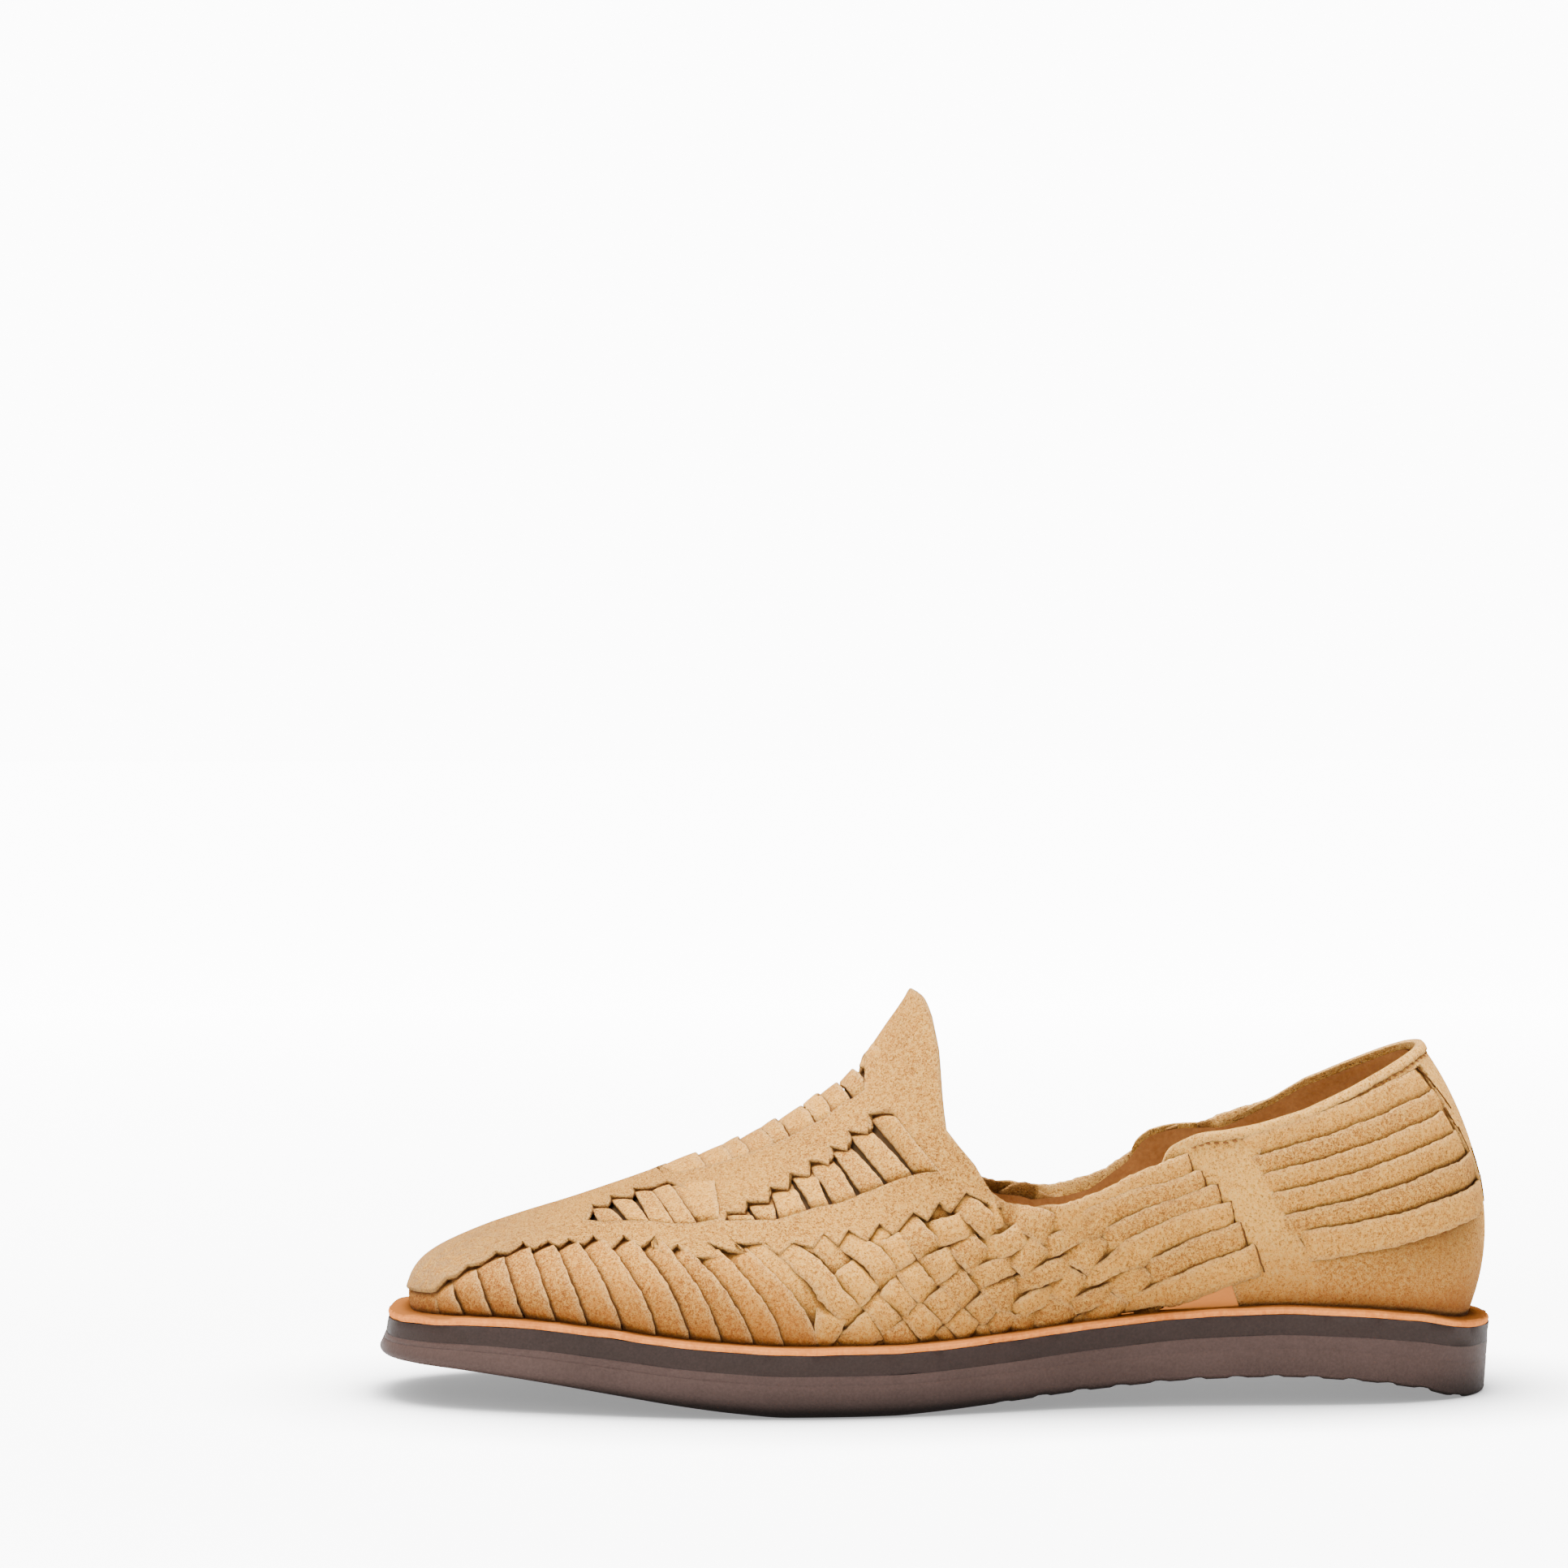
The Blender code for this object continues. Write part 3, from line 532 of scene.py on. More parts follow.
def lay_strap(bm, edges, height, lean=0.0, tone=0.5, thick=STRAP_THICKNESS, top_steps=6, crown=0.15,
              rim=1.0):
    """One strap between two edges. height and lean are numbers or (distance, mm) nodes. lean lifts the
    first edge and lowers the second."""
    first, second, run = edges
    span = np.linalg.norm(wall_at(*first.T) - wall_at(*second.T), axis=1)
    sections = np.array([strap_section(w / 2, thick, top_steps) for w in span])
    ring = sections.shape[1]
    share, rise = sections[:, :, 0], sections[:, :, 1]
    places = (first + second)[:, None] / 2 + (first - second)[:, None] / 2 * share[:, :, None]
    heights, leans = nodes_at(height, run)[:, None], nodes_at(lean, run)[:, None]
    over = heights + rise + leans * share + crown * (1 - share**2)
    points = on_last(places[:, :, 0].ravel(), places[:, :, 1].ravel(), over.ravel())
    # painted shade along the edge that the next strap laps, and, in the last field below, where the strap
    # sinks under another
    lapped = np.clip(leans, 0, 0.75) * LAP_SHADE
    layers = fields_of(bm)
    grid = bmesh.ops.create_grid(bm, x_segments=ring - 1, y_segments=len(run) - 1, size=1.0)["verts"]
    to_edge = ((1 - np.abs(share)) * span[:, None] / 2).ravel()
    shaded = (lapped * np.exp(-(1 + share) * span[:, None] / LAP_REACH)).ravel()
    values = (
        rim * np.exp(-np.clip(to_edge, 0, None) / RIM_REACH),
        foot_closeness(points),
        np.full(len(points), tone),
        np.clip((SINK_START - over.ravel()) / SINK_DEPTH, 0, 1) + shaded,
    )
    set_points(grid, world(points), layers, values)


def close_straps(bm):
    """Merges the seams, caps the ends and turns the faces out."""
    bmesh.ops.remove_doubles(bm, verts=bm.verts, dist=1e-7)
    ends = [e for e in bm.edges if e.is_boundary]
    bmesh.ops.holes_fill(bm, edges=ends, sides=0)
    bmesh.ops.recalc_face_normals(bm, faces=bm.faces)


def finish_piece(name, bm, finish, replaces=(), modifiers=(), sharp=None):
    mesh = bpy.data.meshes.new(name)
    bm.to_mesh(mesh)
    bm.free()
    piece = bpy.data.objects.new(name, mesh)
    bpy.context.scene.collection.objects.link(piece)
    mesh.materials.append(finish)
    mesh.shade_smooth()
    if sharp:
        mesh.set_sharp_from_angle(angle=radians(sharp))
    for kind, settings in modifiers:
        step = piece.modifiers.new(kind.lower(), kind)
        for key, value in settings.items():
            setattr(step, key, value)
    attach(piece, "root")
    if replaces:
        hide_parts(*replaces)
    print(name, len(mesh.polygons), "faces")
    return piece


# %% [markdown]
# ## Finishes
#
# Suede is hide with the flesh side out: a dull nap of short fibres, lighter at raw edges where it has
# been cut, and here made darker and more orange near the sole. A picture of suede would show seams and
# repeat. Noise in the piece's own coordinates doesn't, and it gives the tufts, the mottling and the bump
# from one pattern. The colour of the tufts also carries painted highlight on their tips and painted
# shade in the hollows between them, and painted shade darkens creases and the parts of straps that sink
# under others or are lapped. The coarse hide of the bands and the counter and the shaved hide of the
# straps share one recipe with different sizes.

# %%
def new_finish(name, roughness):
    made = bpy.data.materials.new(name)
    made.use_nodes = True
    shader = made.node_tree.nodes["Principled BSDF"]
    shader.inputs["Roughness"].default_value = roughness
    shader.inputs["Specular IOR Level"].default_value = 0.12
    return made, made.node_tree, shader


def node(tree, kind, **inputs):
    made = tree.nodes.new("ShaderNode" + kind)
    for name, value in inputs.items():
        made.inputs[name.replace("_", " ")].default_value = value
    return made


def noise(tree, where, scale, detail=3.0, rough=0.55):
    made = node(tree, "TexNoise", Scale=scale, Detail=detail, Roughness=rough)
    tree.links.new(where, made.inputs["Vector"])
    return made.outputs["Fac"]


def field(tree, name):
    made = tree.nodes.new("ShaderNodeAttribute")
    made.attribute_name = name
    return made.outputs["Fac"]


def reckon(tree, operation, a, b, clamp=False):
    made = tree.nodes.new("ShaderNodeMath")
    made.operation = operation
    made.use_clamp = clamp
    for socket, value in zip(made.inputs, (a, b)):
        if isinstance(value, (int, float)):
            socket.default_value = value
        else:
            tree.links.new(value, socket)
    return made.outputs[0]


def spread(tree, value, low, high, to_low=0.0, to_high=1.0):
    made = tree.nodes.new("ShaderNodeMapRange")
    for name, number in (("From Min", low), ("From Max", high), ("To Min", to_low), ("To Max", to_high)):
        made.inputs[name].default_value = number
    tree.links.new(value, made.inputs["Value"])
    return made.outputs["Result"]


def times(tree, a, b, clamp=False):
    return reckon(tree, "MULTIPLY", a, b, clamp)


def two_sizes(tree, coarse, fine):
    """A shade from 0 to 1, half of it from each of two noises."""
    return reckon(tree, "ADD", *(spread(tree, size, 0.3, 0.7, 0.0, 0.5) for size in (coarse, fine)))


def blend(tree, share, a, b):
    """Colour a where share is 0 and b where it is 1; a and b are colours or sockets."""
    made = tree.nodes.new("ShaderNodeMix")
    made.data_type = "RGBA"
    tree.links.new(share, made.inputs["Factor"])
    for name, value in (("A", a), ("B", b)):
        socket = [s for s in made.inputs if s.name == name and s.type == "RGBA"][0]
        if isinstance(value, tuple):
            socket.default_value = (*value, 1.0)
        else:
            tree.links.new(value, socket)
    return [s for s in made.outputs if s.type == "RGBA"][0]


def bump(tree, height, strength, distance):
    made = node(tree, "Bump", Strength=strength, Distance=distance * MM)
    tree.links.new(height, made.inputs["Height"])
    return made.outputs["Normal"]


DARK_ORANGE = (0.36, 0.10, 0.014)
RAW_EDGE = (0.88, 0.54, 0.20)
PIT_AND_SHADE = (0.17, 0.075, 0.017)


def occlusion_shade(tree, reach, low, high, strength=1.0):
    """Painted shade: how hidden a spot is between its neighbours, within reach mm, as the share by which the
    colour is darkened, 0 in the open and up to strength in creases.
    """
    near = tree.nodes.new("ShaderNodeAmbientOcclusion")
    near.samples = 8
    near.inputs["Distance"].default_value = reach * MM
    return spread(tree, near.outputs["AO"], low, high, strength, 0.0)


TOE_TIP = (0.140, 0.0, 0.026)
SCUFFED = (0.46, 0.27, 0.11)


def suede(name, dark, middle, light, tuft, relief, grain=1.0, tint_heights=(0.0, 0.0), scuffed=0.0, coarse=0.35):
    """tuft is the number of tufts to the millimetre and relief their height in mm. The pair of heights after
    grain says where the hide turns darker and more orange towards the bottom, and scuffed gives the
    strength of the scuff at the toe."""
    made, tree, shader = new_finish(name, 0.95)
    where = tree.nodes.new("ShaderNodeTexCoord").outputs["Object"]
    cloud = noise(tree, where, 70.0, 3.0)
    mottle = noise(tree, where, 420.0, 3.0, 0.6)
    clumps = noise(tree, where, 0.5 * tuft / MM, 3.0, 0.65)
    tufts = noise(tree, where, 1.1 * tuft / MM, 2.0, 0.6)
    hairs = noise(tree, where, 2.8 * tuft / MM, 1.0, 0.5)
    even = two_sizes(tree, cloud, mottle)
    shade = reckon(tree, "ADD", even, spread(tree, field(tree, "tone"), 0.0, 1.0, -0.4, 0.4), clamp=True)
    colour = blend(tree, shade, dark, middle)
    fine = reckon(tree, "ADD", times(tree, tufts, 0.5), times(tree, hairs, 0.35))
    part = (1.0 - coarse) / 0.85
    # The grain's own light and dark fibres, with painted highlight on the tuft tips and painted shade in the
    # hollows between tufts: the colour follows the same noise as the bump.
    grain_and_highlight = reckon(tree, "ADD", times(tree, fine, part), times(tree, clumps, coarse))
    colour = blend(tree, spread(tree, grain_and_highlight, 0.46, 0.58, 0.0, 0.9 * grain), colour, light)
    pits_and_shade = spread(tree, grain_and_highlight, 0.38, 0.475, 0.95 * grain, 0.0)
    colour = blend(tree, pits_and_shade, colour, PIT_AND_SHADE)
    # Darker and more orange near the board and, where heights are given, towards the bottom.
    foot_tint = times(tree, field(tree, "foot"), spread(tree, mottle, 0.3, 0.7, 0.4, 1.1), clamp=True)
    colour = blend(tree, foot_tint, colour, DARK_ORANGE)
    if tint_heights[1] > 0:
        apart = node(tree, "SeparateXYZ")
        tree.links.new(where, apart.inputs[0])
        bottom_tint = spread(tree, apart.outputs["Z"], *tint_heights, 0.75, 0.0)
        bottom_tint = times(tree, bottom_tint, spread(tree, cloud, 0.3, 0.7, 0.4, 1.0))
        colour = blend(tree, bottom_tint, colour, DARK_ORANGE)
    if scuffed > 0:
        away = node(tree, "VectorMath")
        away.operation = "DISTANCE"
        tree.links.new(where, away.inputs[0])
        away.inputs[1].default_value = TOE_TIP
        darkening = spread(tree, away.outputs["Value"], 0.010, 0.055, scuffed, 0.0)
        darkening = times(tree, darkening, spread(tree, mottle, 0.35, 0.6, 0.3, 1.2), clamp=True)
        colour = blend(tree, darkening, colour, SCUFFED)
    raw = times(tree, field(tree, "rim"), spread(tree, tufts, 0.35, 0.6, 0.2, 0.9), clamp=True)
    colour = blend(tree, raw, colour, RAW_EDGE)
    # Painted shade: darker where a strap sinks under another or is lapped by the next, and in creases found
    # by occlusion.
    shadow = tuple(c * 0.3 for c in dark)
    colour = blend(tree, times(tree, field(tree, "painted_shade"), 0.8, clamp=True), colour, shadow)
    colour = blend(tree, occlusion_shade(tree, 1.8, 0.40, 0.92, 0.9), colour, shadow)
    tree.links.new(colour, shader.inputs["Base Color"])
    nap = reckon(tree, "ADD", fine, times(tree, clumps, 0.6))
    tree.links.new(bump(tree, nap, 1.0, relief), shader.inputs["Normal"])
    return made


band_suede = suede(
    "band_suede", (0.53, 0.178, 0.022), (0.91, 0.355, 0.042), (0.98, 0.56, 0.13),
    tuft=2.3, relief=6.5, scuffed=0.6, coarse=0.34,
)
strap_suede = suede(
    "strap_suede", (0.52, 0.175, 0.021), (0.92, 0.368, 0.046), (0.98, 0.58, 0.14),
    tuft=2.4, relief=3.2, grain=0.9,
)
rib_suede = suede(
    "rib_suede", (0.44, 0.140, 0.016), (0.80, 0.295, 0.031), (0.95, 0.52, 0.12),
    tuft=2.3, relief=3.2, grain=0.9, tint_heights=(0.012, 0.038),
)
counter_suede = suede(
    "counter_suede", (0.57, 0.195, 0.024), (0.97, 0.420, 0.058), (1.0, 0.62, 0.17),
    tuft=2.3, relief=3.4, grain=0.9, tint_heights=(0.024, 0.046),
)

# %%
def leather(name, dark, light, roughness, darkening=0.0):
    """The last argument gives how much darker the faces that look up are made."""
    made, tree, shader = new_finish(name, roughness)
    shader.inputs["Specular IOR Level"].default_value = 0.0
    where = tree.nodes.new("ShaderNodeTexCoord").outputs["Object"]
    cloud = noise(tree, where, 70.0, 3.0)
    fibre = noise(tree, where, 900.0, 4.0, 0.65)
    shade = two_sizes(tree, cloud, fibre)
    colour = blend(tree, shade, dark, light)
    facing = node(tree, "SeparateXYZ")
    tree.links.new(tree.nodes.new("ShaderNodeNewGeometry").outputs["Normal"], facing.inputs[0])
    facing_up_dark = spread(tree, facing.outputs["Z"], 0.3, 0.9, 0.0, darkening)
    colour = blend(tree, facing_up_dark, colour, tuple(c * 0.18 for c in light))
    tree.links.new(colour, shader.inputs["Base Color"])
    tree.links.new(bump(tree, fibre, 0.7, 0.25), shader.inputs["Normal"])
    return made


def foam(name, dark, light, scale):
    """Microcellular rubber: matt, faintly speckled, with a tiny pitted bump. Occlusion paints shade into its
    colour near the floor and in creases.
    """
    made, tree, shader = new_finish(name, 0.62)
    where = tree.nodes.new("ShaderNodeTexCoord").outputs["Object"]
    cloud = noise(tree, where, 30.0, 3.0)
    speck = noise(tree, where, scale, 3.0, 0.6)
    shade = two_sizes(tree, cloud, speck)
    colour = blend(tree, shade, dark, light)
    # Painted shade: occlusion within 12 mm darkens the rubber near the floor and in creases.
    colour = blend(tree, occlusion_shade(tree, 12.0, 0.3, 0.9, 0.95), colour, tuple(c * 0.15 for c in dark))
    tree.links.new(colour, shader.inputs["Base Color"])
    tree.links.new(bump(tree, speck, 0.5, 0.12), shader.inputs["Normal"])
    return made


board_leather = leather("board_leather", (0.36, 0.098, 0.017), (0.68, 0.230, 0.050), 0.75, darkening=0.92)
insole_leather = leather("lining_leather", (0.24, 0.100, 0.026), (0.40, 0.19, 0.060), 0.8)
shadow_leather = leather("shadow_leather", (0.085, 0.045, 0.02), (0.14, 0.075, 0.035), 0.95)
thread = leather("thread", (0.14, 0.055, 0.014), (0.24, 0.10, 0.03), 0.8)
slit_shadow = leather("slit_shadow", (0.050, 0.020, 0.006), (0.110, 0.043, 0.012), 0.95)
dark_foam = foam("dark_foam", (0.015, 0.009, 0.007), (0.027, 0.016, 0.013), 1400.0)
light_foam = foam("light_foam", (0.037, 0.0215, 0.0172), (0.060, 0.036, 0.030), 1400.0)

# %% [markdown]
# ## The sole
#
# The sole is three slabs: a rippled tread of light foam rubber, a darker midsole and the tan leather
# board. Each is half a section, from the middle of its underside out round the edge to the middle of
# its top, swept once round the outline. A grid does this sweep: one direction goes round the outline,
# the other along the half section.

# %%
OUTSOLE_SHARE = 0.7        # share of the sole's height that is outsole
SOLE_STEP = 1.3
TREAD_PITCH = 10.0
TREAD_FIRST = 11.0
TREAD_LAST = 268.0
TREAD_HALF = 1.6
TREAD_DEPTH = 0.65
TREAD_SLOPE = 0.6          # mm past its half width where a groove's side ends
TREAD_MARGIN = 8.0         # mm of plain edge where the grooves are closed
TREAD_OPEN_END = 125.0
BOARD_EDGE = 1.9           # what shows of the board; the midsole is wrapped up round the rest


def outline_turns(step):
    rows = []
    for row in range(TOE):
        parts = max(2, int(round((ROW_KNOTS[row + 1] - ROW_KNOTS[row]) / step)))
        rows += [row + k / parts for k in range(parts)]
    rows.append(float(TOE))
    return np.array(rows + [2 * TOE - row for row in rows[-2::-1]])


def tread_depth(station, inside):
    """Depth of the ripple grooves; inside is the distance from the sole's edge."""
    phase = np.abs((station - TREAD_FIRST + TREAD_PITCH / 2) % TREAD_PITCH - TREAD_PITCH / 2)
    depth = TREAD_DEPTH * np.clip(TREAD_HALF + TREAD_SLOPE - phase, 0, 1)
    depth = np.where((station > TREAD_FIRST - 5) & (station < TREAD_LAST), depth, 0.0)
    closed = np.clip((inside - TREAD_MARGIN) / 1.5, 0, 1)
    fade = np.clip((station - TREAD_OPEN_END) / 12, 0, 1)
    return depth * ((1 - fade) + fade * closed)


def slab(name, section, finish, node_name, sharp=50.0):
    """section(turns, stations, half widths) gives rows of (share of the way from the edge to the middle,
    inset from the edge, height), underside first."""
    turns = outline_turns(SOLE_STEP)
    edge = outline(turns)
    middle = np.column_stack([edge[:, 0], outline(2 * TOE - turns)[:, 1] * 0.5 + edge[:, 1] * 0.5])
    out = outward(turns)
    half = np.linalg.norm(middle - edge, axis=1)
    rows = section(turns, edge[:, 0], half)
    bm = bmesh.new()
    layers = fields_of(bm)
    grid = bmesh.ops.create_grid(bm, x_segments=len(turns) - 1, y_segments=len(rows) - 1, size=1.0)["verts"]
    points = []
    for share, inset, height in rows:
        spot = edge + out * (-inset)[:, None]
        spot = spot + (middle - spot) * share[:, None]
        points.append(np.column_stack([spot, height]))
    points = np.concatenate(points)
    zero = np.zeros(len(points))
    set_points(grid, world(points), layers, (zero, zero, zero, zero))
    bmesh.ops.remove_doubles(bm, verts=bm.verts, dist=2e-5)
    bmesh.ops.recalc_face_normals(bm, faces=bm.faces)
    return finish_piece(name, bm, finish, (node_name,), sharp=sharp)


def wave(turns, rates, size):
    """A small irregular waviness round the outline, the same each time."""
    run = np.interp(np.mod(turns, 2 * TOE), np.arange(2 * TOE + 1), LOOP_KNOTS)
    loop = LOOP_KNOTS[-1]
    return size * sum(np.sin(2 * pi * run / loop * k + k) for k in rates) / len(rates)


def outsole_section(turns, station, half):
    tread = sole_at("tread", station)
    light = sole_at("light", station)
    flare = sole_at("flare", station)
    roll = sole_at("edge", station)
    ones = np.ones(len(turns))
    rows = []
    for share in (1.0, 0.8, 0.6, 0.42, 0.28, 0.16, 0.07, 0.0):
        groove = tread_depth(station, roll - flare + share * half)
        rows.append((share * ones, roll - flare, tread + groove))
    for angle in (25, 50, 70, 90):
        height = roll * (1 - np.cos(radians(angle)))
        inset = roll * (1 - np.sin(radians(angle))) - flare
        groove = tread_depth(station, inset) * (1 - height / (roll + 0.01)) * 0.7
        rows.append((0 * ones, inset, tread + height + groove))
    rim = 1 - OUTSOLE_SHARE
    for up in (0.45, 0.62, 0.66, 0.70, 0.85, 1.0):
        height = roll + (light - roll) * up
        groove = np.where(abs(up - 0.66) < 0.01, 0.12, 0.0)      # mould line
        inset = groove - flare * (1 - up * OUTSOLE_SHARE) + wave(turns, (9, 23), 0.12)
        rows.append((0 * ones, inset, tread + height))
    rows.append((0.1 * ones, -flare * rim, tread + light))
    rows.append((ones, -flare * rim, tread + light))
    return rows


def midsole_section(turns, station, half):
    low = sole_at("tread", station) + sole_at("light", station)
    high = board_top(station) - BOARD_EDGE
    flare = sole_at("flare", station) * (1 - OUTSOLE_SHARE)
    ones = np.ones(len(turns))
    ease = 0.05
    return [
        (ones, -flare, low), (0.05 * ones, -flare, low), (0 * ones, ease - flare, low),
        (0 * ones, -flare + wave(turns, (11, 31), 0.1), low + ease),
        (0 * ones, -flare * 0.5 + wave(turns, (13, 37), 0.12), (low + high) / 2),
        (0 * ones, wave(turns, (17, 29), 0.1), high - ease), (0 * ones, ease * ones, high),
        (0.05 * ones, ones * 0, high), (ones, ones * 0, high),
    ]


def board_section(turns, station, half):
    high = board_top(station)
    low = high - BOARD_EDGE
    toe = np.clip((station - 200) / 60, 0, 1)
    ripple = wave(turns, (21, 34, 47), 1.0)
    ones = np.ones(len(turns))
    lift = ripple * (0.12 + 0.28 * toe)
    push = wave(turns, (19, 41, 60), 0.22)
    return [
        (ones, 0 * ones, low), (0.04 * ones, 0.3 * ones, low),
        (0 * ones, 0.25 + push, low + 0.05 + lift * 0.5),
        (0 * ones, push, low + 0.45 + lift), (0 * ones, push - 0.12, (low + high) / 2 + lift),
        (0 * ones, push + 0.05, high - 0.5 + lift), (0 * ones, push + 0.55, high + lift * 0.8),
        (0.08 * ones, 0.5 * ones, high), (0.4 * ones, 0.5 * ones, high), (ones, 0.5 * ones, high),
    ]


slab("tread_and_outsole", outsole_section, light_foam, "outsole")
slab("midsole_layer", midsole_section, dark_foam, "midsole")
slab("leather_board", board_section, board_leather, "footbed", 40.0)

# %% [markdown]
# ## Sheets on the last
#
# The vamp, the counter and the lining are cut from sheets. A sheet is a set of columns round the last.
# Each column has one stretch, or two where a window lies between. The two stretches share their points
# where the window is closed, so merging the doubles makes one sheet with a hole in it, and Solidify
# gives it the hide's thickness. The edges of the windows are tables of chart places.
#
# Many of the places in the tables from here on weren't designed. A separate program worked them out
# from spots marked on a view of a real shoe, and they were copied in, often unchanged. No rule gives
# them, so another shoe would need tables of its own.

# %%
SAME_SPOT = 2e-5           # points nearer than this, in metres, are one point
FOOT_MIDDLE = (140.0, 0.0, 30.0)


def sheet(bm, columns, low, high, steps, rear, offset, side, tone=0.5, painted_shade=0.0):
    """A strip of sheet: columns are shares from the rear edge to the front, low and high the lifts there.
    rear(lift) gives the turns of the rear and front edges."""
    share = np.repeat(columns, steps + 1)
    up = np.tile(np.linspace(0, 1, steps + 1), len(columns))
    lift = np.repeat(low, steps + 1) * (1 - up) + np.repeat(high, steps + 1) * up
    back, front = rear(lift)
    turn = back + (front - back) * share
    if side < 0:
        turn = 2 * TOE - turn
    points = on_last(turn, lift, np.full(len(turn), 1.0) * offset)
    layers = fields_of(bm)
    grid = bmesh.ops.create_grid(bm, x_segments=steps, y_segments=len(columns) - 1, size=1.0)["verts"]
    ones = np.ones(len(turn))
    values = (0 * ones, foot_closeness(points), ones * tone, ones * painted_shade)
    set_points(grid, world(points), layers, values)


def face_out(bm):
    """Turns a sheet so that its faces look away from the foot."""
    bmesh.ops.recalc_face_normals(bm, faces=bm.faces)
    middle = Vector(world(np.array(FOOT_MIDDLE)))
    score = sum((f.calc_center_median() - middle).dot(f.normal) * f.calc_area() for f in bm.faces)
    if score < 0:
        bmesh.ops.reverse_faces(bm, faces=bm.faces)


def mark_rims(bm, reach, curl, strength):
    """Merges the sheet's strips, stores how near each point is to a raw edge and lets the edge curl up."""
    bmesh.ops.remove_doubles(bm, verts=bm.verts, dist=SAME_SPOT)
    face_out(bm)
    bm.normal_update()
    rim = fields_of(bm)[0]
    edge = np.array([v.co for v in bm.verts if v.is_boundary])
    every = np.array([v.co for v in bm.verts])
    near = np.concatenate([
        np.sqrt(((part[:, None] - edge[None]) ** 2).sum(2)).min(1) for part in np.array_split(every, 12)
    ]) / MM
    for vert, gap in zip(bm.verts, near):
        vert[rim] = float(strength * np.exp(-gap / reach))
        vert.co += vert.normal * float(curl * np.exp(-gap / 1.5)) * MM


# %% [markdown]
# ### Edges that several pieces share
#
# The topline is the upper edge seen square from the side: collar, front corner of the counter, topmost
# strap, throat and tongue. The throat line is the same edge on the chart, rearmost turn of the vamp at
# each lift.

# %%
TOPLINE = (
    (8.0, 95.2), (16.5, 91.6), (29.6, 85.2), (40.7, 80.0), (52.8, 75.0), (63.9, 71.8), (72.6, 70.2),
    (80.5, 68.4), (86.0, 66.6), (89.2, 64.0), (91.5, 60.6), (100.6, 55.8), (108.8, 51.8),
    (117.7, 48.6), (126.6, 49.4), (131.5, 51.4), (135.4, 56.6),
)
THROAT = (
    (0.0, 8.92), (0.345, 8.92), (0.408, 9.14), (0.483, 9.38), (0.545, 9.66), (0.601, 9.84), (0.73, 9.89),
    (0.893, 9.92), (1.068, 10.02), (1.246, 10.2), (1.40, 10.38), (1.58, 10.56),
)
THROAT_LIFT, THROAT_TURN = np.array(THROAT).T


def throat_turn(lift):
    return np.interp(lift, THROAT_LIFT, THROAT_TURN)


def lift_at_height(turns, rows, side):
    """Where each section passes a side-view line of (station, height)."""
    stations, heights = np.array(rows).T
    lifts = np.linspace(0.02, 1.45, 120)
    out = []
    for turn in turns:
        wall = wall_at(np.full(len(lifts), turn if side > 0 else 2 * TOE - turn), lifts)
        over = wall[:, 2] - np.interp(wall[:, 0], stations, heights)
        k = int(np.argmax(over > 0))
        share = -over[k - 1] / (over[k] - over[k - 1])
        out.append(lifts[k - 1] + share * (lifts[k] - lifts[k - 1]))
    return np.array(out)


COUNTER_CORNER = {
    # the rounded front corner of the counter on the outer and the inner side, in chart places
    1: ((6.325, 0.595), (6.70, 0.565), (6.875, 0.535), (6.95, 0.52), (7.025, 0.495), (7.06, 0.46),
        (7.09, 0.40)),
    -1: ((6.15, 0.545), (6.425, 0.54), (6.65, 0.532), (6.775, 0.522), (6.925, 0.505), (7.05, 0.475),
         (7.125, 0.44), (7.15, 0.40), (7.16, 0.36)),
}


def collar_top(turns, side):
    """The lift of the collar's edge, with the rounded corner of the counter."""
    corner_turns, corner_lifts = np.array(COUNTER_CORNER[side]).T
    plain = lift_at_height(turns, TOPLINE, side)
    corner = np.interp(turns, corner_turns, corner_lifts)
    inside = (turns >= corner_turns[0]) & (turns <= corner_turns[-1] + 1e-6)
    joined = np.interp(turns, (corner_turns[0] - 1.2, corner_turns[0]), (0.0, 1.0))
    step = corner_lifts[0] - lift_at_height(corner_turns[:1], TOPLINE, side)[0]
    return np.where(inside, corner, plain + np.where(turns < corner_turns[0], joined * step, 0.0))


def vamp_span(lift):
    return throat_turn(lift), np.full(len(lift), float(TOE))


def lining_span(lift):
    """The lining stops a little short of the hide's edge."""
    short = np.interp(lift, (0.30, 0.42), (0.0, 0.1))
    return throat_turn(lift) + short, np.full(len(lift), float(TOE))


def vamp_share(turn, lift):
    """Share of the way from throat line to toe, for chart places."""
    back = throat_turn(lift)
    return (turn - back) / (TOE - back)


def as_shares(rows):
    rows = np.array(rows, float)
    return np.column_stack([vamp_share(rows[:, 0], rows[:, 1]), rows[:, 1]])


# %% [markdown]
# ### Lining
#
# Inside, the straps lie on a smooth tan lining. From outside it is what shows, in heavy shade, through
# the gaps between straps, so it is two thin skins back to back: tan leather inwards, and outwards a
# dark skin whose colour is painted shade.

# %%
VAMP_REAR = 8.92           # the turn where the vamp's lower edge ends
LINING_DEPTH, UNDERLAY_DEPTH = -2.35, -1.75    # heights over the last


